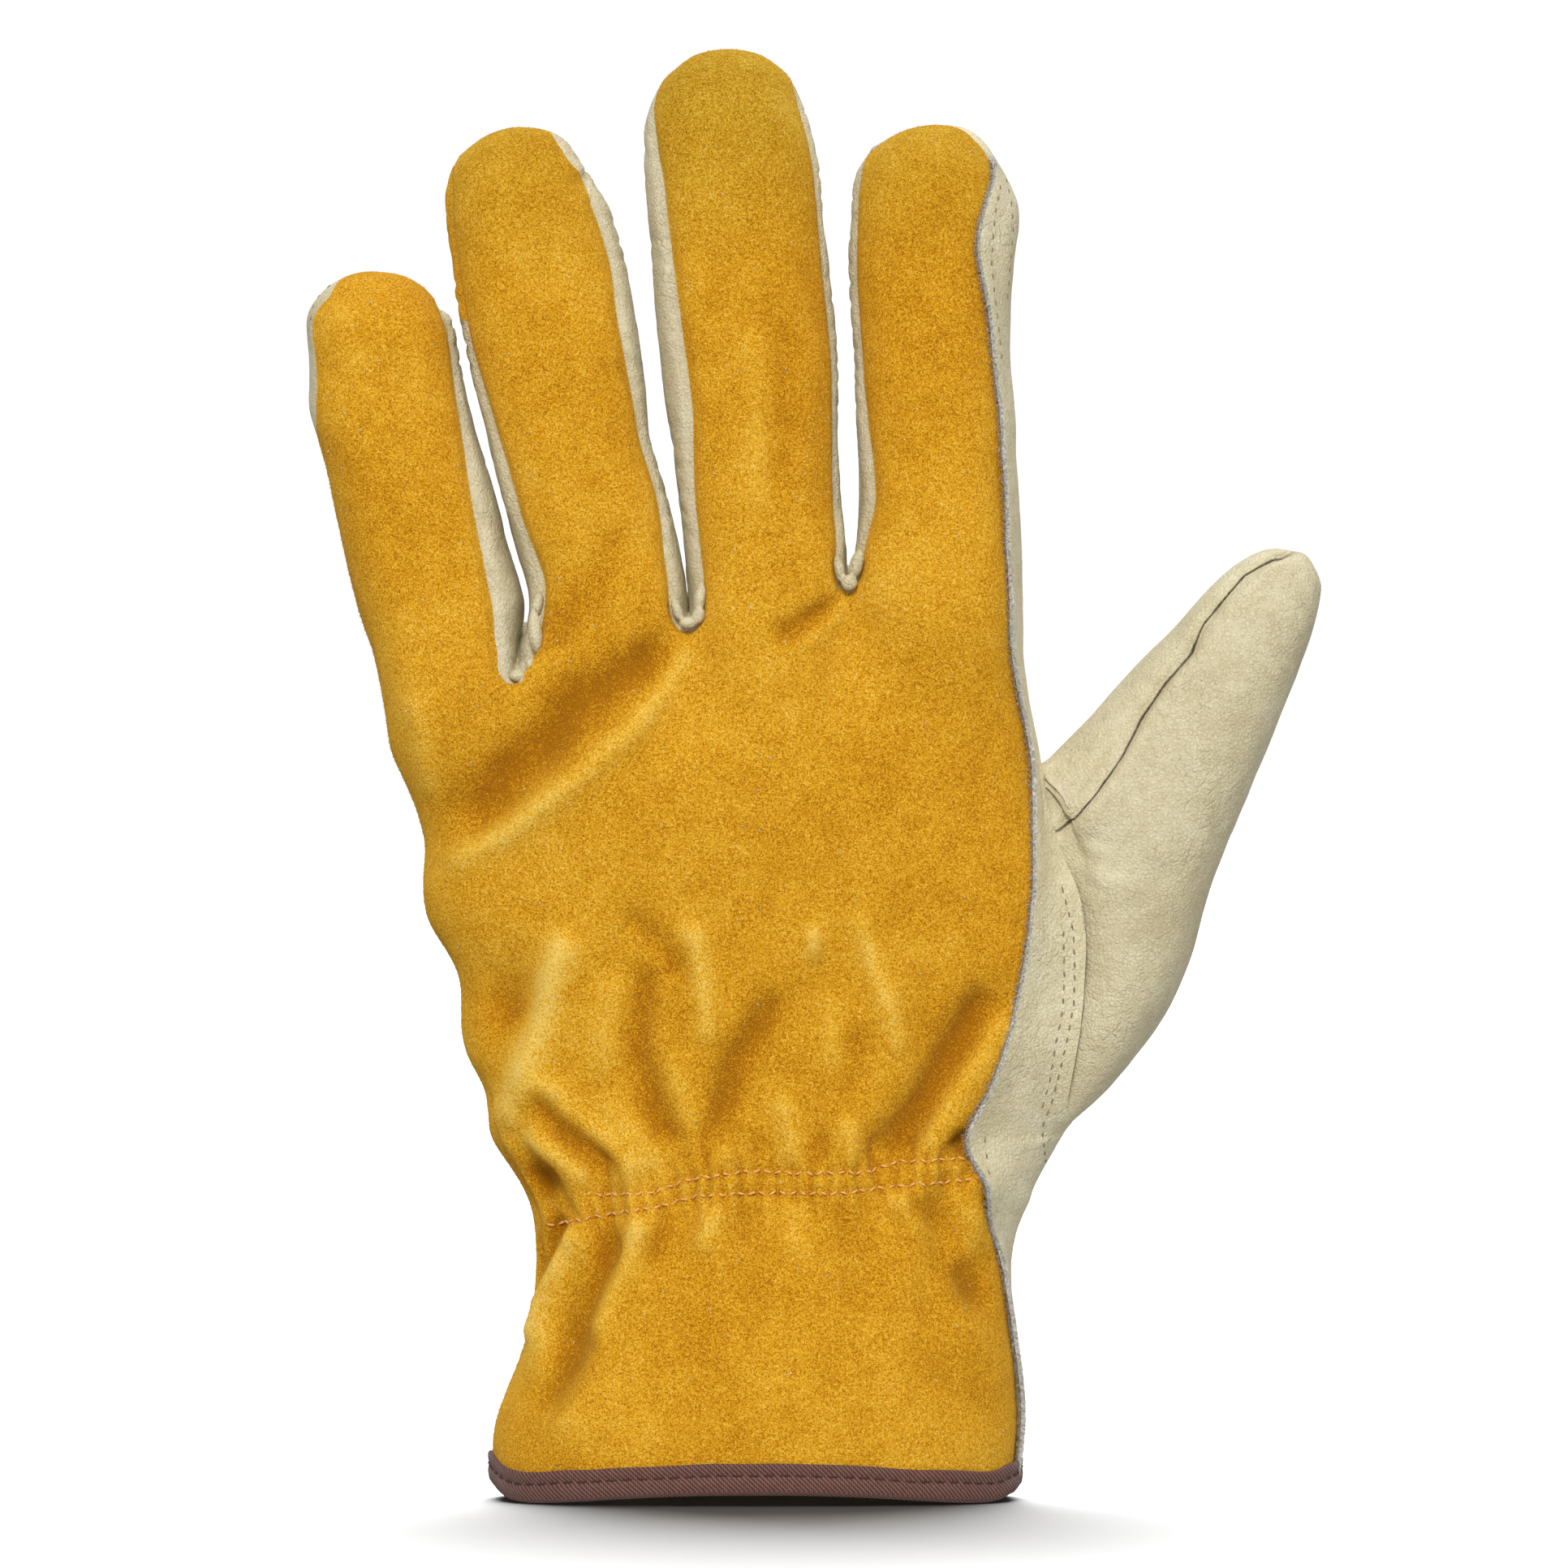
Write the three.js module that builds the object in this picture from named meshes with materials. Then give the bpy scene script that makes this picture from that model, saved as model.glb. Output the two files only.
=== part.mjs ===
import * as THREE from 'three';

// A left-hand leather driver glove, upright and as worn, seen from the back of the hand at -Y.
// X runs across the knuckles with the thumb at +X, Z runs up to the fingertips, and the origin is
// the middle of the wrist opening. All lengths are millimetres and all angles degrees.

// Leather, tape and seams
const suedeThickness = 1.4;
const grainThickness = 1.2;
const bindingThickness = 0.8;
const bindingHeight = 5.4;
const seamGap = 0.3;

// Cuff and hand
const cuffLength = 55;
const cuffWidth = 91;
const cuffDepth = 54;
const handLength = 94;
const handWidth = 110;
const handDepth = 36;
const hemBow = 2;
const hemCornerLift = 3;
const hemCornerPower = 20;
const sectionSquareness = 2.4;

// Fingers
const littleLength = 67.8;
const ringLength = 91.3;
const middleLength = 97;
const indexLength = 79.3;
const littleWidth = 28.5;
const ringWidth = 29.5;
const middleWidth = 30;
const indexWidth = 28.5;
const fingerDepth = 25;
const fingerCurl = 7;
const palmSeamAngle = 42;
const littleSideWrap = 30;

// Thumb
const thumbLength = 65;
const thumbWidth = 36;
const thumbDepth = 32;
const thumbForward = 7;
const thumbGroove = 0.8;
const thumbSwell = 2.5;
const thumbShoulderShare = 0.3;
const thumbHoleFrontAngle = 16;
const thumbHolePalmAngle = -50;
const thumbHoleCorner = 0.2;
const thumbHoleCornerPower = 4;
const thumbSeamAngle = 125;

// Folds and gathers
const gatherDepth = 1.3;
const gatherCount = 9;
const gatherReach = 22;
const foldHeight = 3;
const foldReach = 6;

// Cuff sections from the hem up. up is a share of cuffLength, left, right and lap are shares of
// cuffWidth from the middle line, and front and palm are shares of cuffDepth.
const cuffSections = [
  { up: 0, left: 0.479, right: 0.488, lap: 0.484, front: 0.47, palm: 0.48 },
  { up: 0.1, left: 0.488, right: 0.493, lap: 0.489, front: 0.48, palm: 0.49 },
  { up: 0.16, left: 0.494, right: 0.5, lap: 0.496, front: 0.48, palm: 0.49 },
  { up: 0.3, left: 0.475, right: 0.501, lap: 0.496, front: 0.47, palm: 0.48 },
  { up: 0.45, left: 0.438, right: 0.498, lap: 0.487, front: 0.45, palm: 0.46 },
  { up: 0.6, left: 0.416, right: 0.488, lap: 0.478, front: 0.42, palm: 0.44 },
  { up: 0.755, left: 0.408, right: 0.48, lap: 0.456, front: 0.39, palm: 0.42 },
  { up: 0.9, left: 0.416, right: 0.508, lap: 0.434, front: 0.36, palm: 0.4 },
];

// Hand sections from the gathered wrist up. up is a share of handLength, left, right and lap are
// shares of handWidth from the middle line, and front and palm are shares of handDepth.
const handSections = [
  { up: 0, left: 0.366, right: 0.443, lap: 0.343, front: 0.53, palm: 0.6 },
  { up: 0.077, left: 0.408, right: 0.482, lap: 0.328, front: 0.52, palm: 0.62 },
  { up: 0.12, left: 0.407, right: 0.502, lap: 0.35, front: 0.52, palm: 0.64 },
  { up: 0.166, left: 0.419, right: 0.514, lap: 0.37, front: 0.51, palm: 0.66 },
  { up: 0.21, left: 0.444, right: 0.523, lap: 0.384, front: 0.51, palm: 0.67 },
  { up: 0.3, left: 0.4545, right: 0.532, lap: 0.407, front: 0.51, palm: 0.69 },
  { up: 0.387, left: 0.4645, right: 0.536, lap: 0.42, front: 0.51, palm: 0.7 },
  { up: 0.432, left: 0.487, right: 0.536, lap: 0.424, front: 0.51, palm: 0.7 },
  { up: 0.476, left: 0.51, right: 0.532, lap: 0.43, front: 0.51, palm: 0.69 },
  { up: 0.52, left: 0.516, right: 0.523, lap: 0.434, front: 0.51, palm: 0.67 },
  { up: 0.565, left: 0.51, right: 0.509, lap: 0.435, front: 0.51, palm: 0.65 },
  { up: 0.61, left: 0.511, right: 0.491, lap: 0.434, front: 0.51, palm: 0.62 },
  { up: 0.7, left: 0.529, right: 0.458, lap: 0.43, front: 0.5, palm: 0.57 },
  { up: 0.786, left: 0.558, right: 0.443, lap: 0.427, front: 0.49, palm: 0.53 },
  { up: 0.877, left: 0.569, right: 0.432, lap: 0.415, front: 0.47, palm: 0.5 },
  { up: 1, left: 0.594, right: 0.42, lap: 0.396, front: 0.44, palm: 0.46 },
  { up: 1.07, left: 0.612, right: 0.418, lap: 0.393, front: 0.42, palm: 0.44 },
];

// Where the suede is notched between the fingers, from the little-finger side to the index side.
// across is a share of handWidth, up a share of handLength, and rise is how much higher the crotch
// lies on the palm, as a share of fingerDepth.
const crotches = [
  { across: -0.594, up: 0.97, rise: 0 },
  { across: -0.367, up: 0.904, rise: 0.44 },
  { across: -0.102, up: 1, rise: 0.28 },
  { across: 0.146, up: 1.07, rise: 0.2 },
  { across: 0.418, up: 1.096, rise: 0 },
];

// Finger sections. up is a share of the finger's length, middle is the centre line as a share of
// handWidth, and half, gussetLeft and gussetRight are shares of the finger's width: half its
// width, and how much of the gusset or lap shows beside the suede at each side.
const fingers = [
  {
    length: littleLength, width: littleWidth, dome: 1.04,
    sections: [
      { up: -0.1, middle: -0.471, half: 0.42, gussetLeft: 0, gussetRight: 0.19 },
      { up: 0.03, middle: -0.48, half: 0.438, gussetLeft: 0, gussetRight: 0.19 },
      { up: 0.16, middle: -0.488, half: 0.505, gussetLeft: 0, gussetRight: 0.19 },
      { up: 0.283, middle: -0.509, half: 0.495, gussetLeft: 0, gussetRight: 0.165 },
      { up: 0.407, middle: -0.527, half: 0.495, gussetLeft: 0, gussetRight: 0.155 },
      { up: 0.53, middle: -0.547, half: 0.479, gussetLeft: 0, gussetRight: 0.1 },
      { up: 0.65, middle: -0.568, half: 0.48, gussetLeft: 0, gussetRight: 0.06 },
      { up: 0.776, middle: -0.5755, half: 0.452, gussetLeft: 0, gussetRight: 0.04 },
      { up: 0.9, middle: -0.588, half: 0.474, gussetLeft: 0, gussetRight: 0.03 },
      { up: 1, middle: -0.59, half: 0.46, gussetLeft: 0, gussetRight: 0.03 },
    ],
  },
  {
    length: ringLength, width: ringWidth, dome: 1.25,
    sections: [
      { up: -0.07, middle: -0.234, half: 0.49, gussetLeft: 0.12, gussetRight: 0.12 },
      { up: 0, middle: -0.233, half: 0.493, gussetLeft: 0.12, gussetRight: 0.12 },
      { up: 0.103, middle: -0.224, half: 0.454, gussetLeft: 0.09, gussetRight: 0.1 },
      { up: 0.192, middle: -0.242, half: 0.475, gussetLeft: 0.09, gussetRight: 0.1 },
      { up: 0.286, middle: -0.26, half: 0.481, gussetLeft: 0.09, gussetRight: 0.065 },
      { up: 0.377, middle: -0.283, half: 0.471, gussetLeft: 0.08, gussetRight: 0.06 },
      { up: 0.465, middle: -0.296, half: 0.488, gussetLeft: 0.055, gussetRight: 0.085 },
      { up: 0.56, middle: -0.312, half: 0.508, gussetLeft: 0.045, gussetRight: 0.11 },
      { up: 0.65, middle: -0.324, half: 0.515, gussetLeft: 0.03, gussetRight: 0.125 },
      { up: 0.74, middle: -0.336, half: 0.503, gussetLeft: 0.03, gussetRight: 0.1 },
      { up: 0.833, middle: -0.352, half: 0.486, gussetLeft: 0.03, gussetRight: 0.11 },
      { up: 0.924, middle: -0.3645, half: 0.49, gussetLeft: 0.03, gussetRight: 0.1 },
      { up: 1, middle: -0.36, half: 0.49, gussetLeft: 0.03, gussetRight: 0.1 },
    ],
  },
  {
    length: middleLength, width: middleWidth, dome: 1.25,
    sections: [
      { up: -0.06, middle: 0.022, half: 0.455, gussetLeft: 0.1, gussetRight: 0.12 },
      { up: 0, middle: 0.0223, half: 0.455, gussetLeft: 0.08, gussetRight: 0.12 },
      { up: 0.1, middle: 0.019, half: 0.463, gussetLeft: 0.08, gussetRight: 0.1 },
      { up: 0.19, middle: 0.009, half: 0.462, gussetLeft: 0.075, gussetRight: 0.04 },
      { up: 0.274, middle: 0.003, half: 0.47, gussetLeft: 0.1, gussetRight: 0.03 },
      { up: 0.358, middle: -0.0036, half: 0.49, gussetLeft: 0.145, gussetRight: 0.03 },
      { up: 0.446, middle: -0.008, half: 0.507, gussetLeft: 0.14, gussetRight: 0.03 },
      { up: 0.532, middle: -0.015, half: 0.508, gussetLeft: 0.13, gussetRight: 0.03 },
      { up: 0.617, middle: -0.0227, half: 0.5, gussetLeft: 0.11, gussetRight: 0.03 },
      { up: 0.704, middle: -0.029, half: 0.5, gussetLeft: 0.1, gussetRight: 0.03 },
      { up: 0.79, middle: -0.0355, half: 0.496, gussetLeft: 0.08, gussetRight: 0.03 },
      { up: 0.875, middle: -0.043, half: 0.485, gussetLeft: 0.04, gussetRight: 0.03 },
      { up: 1, middle: -0.038, half: 0.5, gussetLeft: 0.03, gussetRight: 0.03 },
    ],
  },
  {
    length: indexLength, width: indexWidth, dome: 1.18,
    sections: [
      { up: -0.06, middle: 0.283, half: 0.523, gussetLeft: 0.07, gussetRight: 0.09 },
      { up: 0, middle: 0.283, half: 0.519, gussetLeft: 0.07, gussetRight: 0.09 },
      { up: 0.068, middle: 0.287, half: 0.496, gussetLeft: 0.08, gussetRight: 0.1 },
      { up: 0.174, middle: 0.288, half: 0.482, gussetLeft: 0.11, gussetRight: 0.1 },
      { up: 0.279, middle: 0.2855, half: 0.474, gussetLeft: 0.09, gussetRight: 0.1 },
      { up: 0.38, middle: 0.283, half: 0.482, gussetLeft: 0.067, gussetRight: 0.112 },
      { up: 0.49, middle: 0.278, half: 0.47, gussetLeft: 0.04, gussetRight: 0.123 },
      { up: 0.594, middle: 0.276, half: 0.479, gussetLeft: 0.03, gussetRight: 0.15 },
      { up: 0.7, middle: 0.277, half: 0.499, gussetLeft: 0.045, gussetRight: 0.235 },
      { up: 0.8045, middle: 0.2836, half: 0.509, gussetLeft: 0.03, gussetRight: 0.23 },
      { up: 0.909, middle: 0.274, half: 0.513, gussetLeft: 0.03, gussetRight: 0.06 },
      { up: 1, middle: 0.286, half: 0.51, gussetLeft: 0.03, gussetRight: 0.03 },
    ],
  },
];

// How deep a finger is from its base to its tip: up is a share of its length, deep a share of
// fingerDepth, and back is where its axis lies as a share of fingerCurl.
const fingerDepths = [
  { up: -0.1, deep: 0.64, back: 0 },
  { up: 0.1, deep: 0.56, back: 0.02 },
  { up: 0.35, deep: 0.5, back: 0.15 },
  { up: 0.7, deep: 0.48, back: 0.55 },
  { up: 1, deep: 0.46, back: 1 },
];

// Thumb sections from the root to the tip. out and up are shares of thumbLength from the root,
// tilt turns the section down from level, and half and deep are shares of thumbWidth and thumbDepth.
const thumbRoot = { across: 0.555, up: 0.5426 };
const thumbSections = [
  { out: 0, up: 0, tilt: 57.6, half: 0.617, deep: 0.53 },
  { out: 0.098, up: 0.192, tilt: 53.8, half: 0.5, deep: 0.5 },
  { out: 0.208, up: 0.385, tilt: 45.3, half: 0.407, deep: 0.45 },
  { out: 0.322, up: 0.575, tilt: 33.9, half: 0.317, deep: 0.39 },
  { out: 0.42, up: 0.737, tilt: 28, half: 0.244, deep: 0.31 },
  { out: 0.485, up: 0.832, tilt: 28, half: 0.14, deep: 0.19 },
];
const thumbTip = { out: 0.505, up: 0.858 };

// Folds of the back, each a soft ridge or valley between two points. x values are shares of
// handWidth, z values shares of handLength from the wrist, height is a share of foldHeight with
// valleys below zero, and wide a share of foldReach.
const folds = [
  { fromX: -0.09, fromZ: 0.96, toX: -0.47, toZ: 0.56, height: 0.55, wide: 0.9 },
  { fromX: -0.13, fromZ: 0.97, toX: -0.46, toZ: 0.66, height: -0.75, wide: 0.9 },
  { fromX: 0.14, fromZ: 1.04, toX: 0.03, toZ: 0.98, height: -0.4, wide: 0.7 },
  { fromX: 0.37, fromZ: 0.32, toX: 0.23, toZ: 0.06, height: -0.7, wide: 0.7 },
  { fromX: 0.17, fromZ: 0.5, toX: 0.23, toZ: 0.16, height: 0.35, wide: 0.7 },
  { fromX: 0.16, fromZ: 0.43, toX: -0.02, toZ: 0.16, height: -0.4, wide: 0.8 },
  { fromX: -0.21, fromZ: 0.44, toX: -0.21, toZ: 0.15, height: -0.45, wide: 0.8 },
  { fromX: -0.26, fromZ: 0.4, toX: -0.34, toZ: 0.2, height: 0.4, wide: 1 },
  { fromX: -0.4, fromZ: 0.34, toX: -0.37, toZ: 0.26, height: -0.5, wide: 1.2 },
  { fromX: -0.36, fromZ: 0.17, toX: -0.16, toZ: 0.04, height: 0.45, wide: 0.7 },
  { fromX: -0.25, fromZ: 0.14, toX: -0.17, toZ: 0.02, height: -0.55, wide: 0.6 },
  { fromX: -0.24, fromZ: -0.04, toX: -0.33, toZ: -0.4, height: -0.45, wide: 0.9 },
  { fromX: -0.19, fromZ: -0.04, toX: -0.26, toZ: -0.35, height: 0.4, wide: 0.9 },
  { fromX: 0.28, fromZ: -0.04, toX: 0.36, toZ: -0.18, height: -0.4, wide: 0.8 },
];

// Grid of the skin: columns of leather a finger at the back and on the palm, and the shares of
// height at which the hand and the fingers have a row.
const backColumns = 7;
const palmColumns = [7, 4, 4, 4];
const gussetColumns = 3;
const handRowShares = [
  0, 0.05, 0.11, 0.18, 0.25, 0.3, 0.335, 0.365, 0.395, 0.43, 0.48, 0.53, 0.58, 0.63, 0.68, 0.73,
  0.78, 0.83, 0.88, 0.92, 0.96, 1,
];
const fingerRowShares = [
  0, 0.025, 0.09, 0.18, 0.27, 0.36, 0.45, 0.54, 0.63, 0.72, 0.8, 0.87, 0.93, 0.975, 1,
];
const gussetRows = 12;
const thumbHole = { firstColumn: 1, lastColumn: 5, firstRow: 8, lastRow: 16 };
const thumbRings = 14;

// Angles of the thumb's section that the corners of its hole lead to, from the bottom of the
// front edge round over the top, and back to where they began.
const thumbLoopAngles = { frontLow: 40, frontHigh: 140, palmHigh: 220, palmLow: 320, closed: 400 };

// Shares of the height at which the hand's columns start to draw to the crotches, the hand's
// section starts to give way to the fingers' sections, and the columns round the thumb hole
// leave their even spread and come back to it.
const columnsDrawFrom = 0.4;
const fingersBlendFrom = 0.78;
const thumbHoleDraws = { from: 0.05, to: 0.97 };

// Two points of the skin are one where they agree to this part of a millimetre.
const weldsPerMillimetre = 1e4;

const gussetNames = [
  'fourchette_little_ring', 'fourchette_ring_middle', 'fourchette_middle_index',
];

const toRadians = Math.PI / 180;
const mix = THREE.MathUtils.lerp;
const handRows = handRowShares.length - 1;

// An eased step from 0 to 1 between two values.
function eased(value, from, to) {
  return THREE.MathUtils.smoothstep(value, from, to);
}

// A column of a table at any place along it, as a curve through its rows.
function readTable(rows, place, key, at) {
  const last = rows.length - 1;
  let k = 0;
  while (k < last - 1 && at > rows[k + 1][place]) {
    k += 1;
  }
  const a = rows[k];
  const b = rows[k + 1];
  const span = b[place] - a[place];
  const t = THREE.MathUtils.clamp((at - a[place]) / span, 0, 1);
  const before = rows[Math.max(k - 1, 0)];
  const after = rows[Math.min(k + 2, last)];
  const startSlope = span * (b[key] - before[key]) / (b[place] - before[place]);
  const endSlope = span * (after[key] - a[key]) / (after[place] - a[place]);
  const t2 = t * t;
  const t3 = t2 * t;
  return (2 * t3 - 3 * t2 + 1) * a[key] + (t3 - 2 * t2 + t) * startSlope
    + (3 * t2 - 2 * t3) * b[key] + (t3 - t2) * endSlope;
}

// The cuff and hand tables as one list of sections in millimetres.
function sized(row, z, width, depth) {
  return {
    z, left: -row.left * width, right: row.right * width, lap: row.lap * width,
    front: row.front * depth, palm: row.palm * depth,
  };
}
const bodySections = [
  ...cuffSections.map((row) => sized(row, row.up * cuffLength, cuffWidth, cuffDepth)),
  ...handSections.map((row) => sized(row, cuffLength + row.up * handLength, handWidth, handDepth)),
];

// A superellipse's cosine or sine term.
function rounded(value) {
  return Math.sign(value) * Math.abs(value) ** (2 / sectionSquareness);
}

// A point of the hand's section, with the angle counted from +X over the back at -Y.
function bodyPoint(angle, z) {
  const [left, right, front, palm] = ['left', 'right', 'front', 'palm']
    .map((key) => readTable(bodySections, 'z', key, z));
  const across = rounded(Math.cos(angle * toRadians));
  const over = rounded(Math.sin(angle * toRadians));
  const x = (left + right) / 2 + across * (right - left) / 2;
  return new THREE.Vector3(x, -over * (over > 0 ? front : palm), z);
}

// The angle at which the hand's section crosses a given x on its back.
function bodyAngle(x, z) {
  const left = readTable(bodySections, 'z', 'left', z);
  const right = readTable(bodySections, 'z', 'right', z);
  const across = THREE.MathUtils.clamp((2 * x - left - right) / (right - left), -1, 1);
  const cosine = Math.sign(across) * Math.abs(across) ** (sectionSquareness / 2);
  return Math.acos(cosine) / toRadians;
}

function lapAngle(z) {
  return bodyAngle(readTable(bodySections, 'z', 'lap', z), z);
}

// The hem bows up at the middle of the back and of the palm, and lifts at its two sides.
function hemHeight(angle) {
  const cosine = Math.abs(Math.cos(angle * toRadians));
  return hemBow * (1 - cosine ** 2) ** 2 + hemCornerLift * cosine ** hemCornerPower;
}

function crotchHeight(edge, onPalm) {
  const { up, rise } = crotches[edge];
  return cuffLength + up * handLength + (onPalm ? rise * fingerDepth : 0);
}

function fingerBase(f) {
  return (crotchHeight(f, false) + crotchHeight(f + 1, false)) / 2;
}

function fingerTip(f) {
  return fingerBase(f) + fingers[f].length;
}

function fingerShare(f, z) {
  return (z - fingerBase(f)) / fingers[f].length;
}

// A point of a finger's section, which closes in a dome at the tip.
function fingerPoint(f, angle, z) {
  const finger = fingers[f];
  const up = fingerShare(f, z);
  const half = finger.width * readTable(finger.sections, 'up', 'half', up);
  const domeHeight = finger.dome * half;
  const intoDome = THREE.MathUtils.clamp((z - fingerTip(f)) / domeHeight + 1, 0, 1);
  const shrink = Math.sqrt(1 - intoDome ** 2);
  const deep = fingerDepth * readTable(fingerDepths, 'up', 'deep', up);
  const y = fingerCurl * readTable(fingerDepths, 'up', 'back', up);
  const across = rounded(Math.cos(angle * toRadians));
  const over = rounded(Math.sin(angle * toRadians));
  const x = handWidth * readTable(finger.sections, 'up', 'middle', up);
  return new THREE.Vector3(x + across * half * shrink, y - over * deep * shrink, z);
}

// The angle of a finger's seam at the back, worked out from how much gusset shows beside it.
function backSeamAngle(f, side, z) {
  const finger = fingers[f];
  const up = fingerShare(f, z);
  if (side === 'left' && f === 0) {
    return 180 + littleSideWrap;
  }
  const key = side === 'left' ? 'gussetLeft' : 'gussetRight';
  const half = readTable(finger.sections, 'up', 'half', up);
  const shown = Math.max(readTable(finger.sections, 'up', key, up), 0);
  const angle = Math.acos((1 - shown / half) ** (sectionSquareness / 2)) / toRadians;
  return side === 'left' ? 180 - angle : angle;
}

// Seam angles of one finger's leather, from its first column to its last, at the back or on the
// palm. Above the gussets the suede and the palm leather meet at the finger's side.
function fingerSpan(f, onPalm, row, zFirst, zLast) {
  const aboveGusset = row >= gussetRows;
  if (!onPalm) {
    const first = f > 0 && aboveGusset ? 180 : backSeamAngle(f, 'left', zFirst);
    const last = f < 3 && aboveGusset ? 0 : backSeamAngle(f, 'right', zLast);
    return [first, last];
  }
  const seam = aboveGusset ? 0 : -palmSeamAngle;
  const first = f === 3 ? backSeamAngle(f, 'right', zFirst) : seam;
  const last = f === 0 ? littleSideWrap - 180 : -180 - seam;
  return [first, last];
}

// How far the back is lifted by its folds and by the gathers at the wrist.
function foldLift(point, angle) {
  if (angle < 0 || angle > 180) {
    return 0;
  }
  const sideFade = Math.sin(angle * toRadians) ** 0.5;
  let lift = 0;
  for (const fold of folds) {
    const fromX = fold.fromX * handWidth;
    const fromZ = cuffLength + fold.fromZ * handLength;
    const alongX = (fold.toX - fold.fromX) * handWidth;
    const alongZ = (fold.toZ - fold.fromZ) * handLength;
    const lengthSquared = alongX ** 2 + alongZ ** 2;
    const t = ((point.x - fromX) * alongX + (point.z - fromZ) * alongZ) / lengthSquared;
    const nearest = THREE.MathUtils.clamp(t, 0, 1);
    const distance = Math.hypot(
      point.x - fromX - nearest * alongX,
      point.z - fromZ - nearest * alongZ,
    );
    lift += fold.height * foldHeight * Math.exp(-((distance / (fold.wide * foldReach)) ** 2));
  }
  const fromWrist = (point.z - cuffLength) / gatherReach;
  const gather = Math.cos(gatherCount * 2 * angle * toRadians) * Math.exp(-(fromWrist ** 2) * 2);
  return sideFade * (lift + gatherDepth * gather);
}

function lifted(point, angle) {
  const lift = foldLift(point, angle);
  const outward = new THREE.Vector3(Math.cos(angle * toRadians), -Math.sin(angle * toRadians), 0);
  return point.clone().addScaledVector(outward, lift);
}

// Where the four columns of leather meet at a height: shares of the way round the back, or round
// the palm, evenly spread low down and drawn to the crotches at the top.
const evenBack = [0, 0.25, 0.5, 0.75, 1];
const evenPalm = [0, 0.5, 0.7, 0.86, 1];
function columnShare(edge, onPalm, share, z, firstAngle, lastAngle) {
  const even = onPalm ? evenPalm[edge] : evenBack[edge];
  if (edge === 0 || edge === 4) {
    return even;
  }
  const crotch = onPalm ? 4 - edge : edge;
  const crossing = bodyAngle(crotches[crotch].across * handWidth, z);
  const drawn = ((onPalm ? -crossing : crossing) - firstAngle) / (lastAngle - firstAngle);
  return mix(even, drawn, eased(share, columnsDrawFrom, 1));
}

// Angle of a column of hand leather. Around the thumb hole the palm's columns follow its edges.
function handAngle(f, onPalm, j, columns, share, z) {
  const firstAngle = onPalm ? lapAngle(z) : 180 + littleSideWrap;
  const lastAngle = onPalm ? littleSideWrap - 180 : lapAngle(z);
  const edge = onPalm ? 3 - f : f;
  const from = columnShare(edge, onPalm, share, z, firstAngle, lastAngle);
  const to = columnShare(edge + 1, onPalm, share, z, firstAngle, lastAngle);
  const angle = mix(firstAngle, lastAngle, mix(from, to, j / columns));
  if (!onPalm || f !== 3) {
    return angle;
  }
  const { firstColumn, lastColumn, firstRow, lastRow } = thumbHole;
  const nearHole = eased(share, thumbHoleDraws.from, handRowShares[firstRow])
    * (1 - eased(share, handRowShares[lastRow], thumbHoleDraws.to));
  const endAngle = mix(firstAngle, lastAngle, to);
  const holeMiddle = (handRowShares[firstRow] + handRowShares[lastRow]) / 2;
  const holeHalf = (handRowShares[lastRow] - handRowShares[firstRow]) / 2;
  const fromMiddle = Math.min(Math.abs(share - holeMiddle) / holeHalf, 1);
  const narrowing = thumbHoleCorner * fromMiddle ** thumbHoleCornerPower;
  const holeStart = mix(thumbHoleFrontAngle, thumbHolePalmAngle, narrowing);
  const holeEnd = mix(thumbHolePalmAngle, thumbHoleFrontAngle, narrowing);
  let holeAngle = mix(firstAngle, holeStart, j / firstColumn);
  if (j > firstColumn) {
    holeAngle = mix(holeStart, holeEnd, (j - firstColumn) / (lastColumn - firstColumn));
  }
  if (j > lastColumn) {
    holeAngle = mix(holeEnd, endAngle, (j - lastColumn) / (columns - lastColumn));
  }
  return mix(angle, holeAngle, nearHole);
}

// The finger's skin at one column, drawn to the shared seam where two fingers meet.
function columnOnFinger(f, onPalm, j, columns, row, z, shared) {
  const [first, last] = fingerSpan(f, onPalm, row, z, z);
  const point = fingerPoint(f, mix(first, last, j / columns), z);
  const step = onPalm ? -1 : 1;
  const neighbour = j === 0 ? f - step : f + step;
  const atSeam = j === 0 || j === columns;
  if (!shared || !atSeam || neighbour < 0 || neighbour > 3) {
    return point;
  }
  const [otherFirst, otherLast] = fingerSpan(neighbour, onPalm, row, z, z);
  const other = fingerPoint(neighbour, j === 0 ? otherLast : otherFirst, z);
  return point.lerp(other, 0.5);
}

// Crotch height along a column, between the crotches at the finger's two sides.
function columnCrotch(f, onPalm, j, columns, palmLevel) {
  const start = crotchHeight(onPalm ? f + 1 : f, palmLevel);
  const end = crotchHeight(onPalm ? f : f + 1, palmLevel);
  return mix(start, end, j / columns);
}

// Height of a finger's row. The rows of the back and the palm start at their own crotches and
// come level where the gusset ends.
function fingerLevel(f, backCrotch, palmCrotch, onPalm, row) {
  const toLevel = Math.min(fingerRowShares[row] / fingerRowShares[gussetRows], 1);
  const start = onPalm ? mix(palmCrotch, backCrotch, toLevel) : backCrotch;
  return mix(start, fingerTip(f), fingerRowShares[row]);
}

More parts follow.
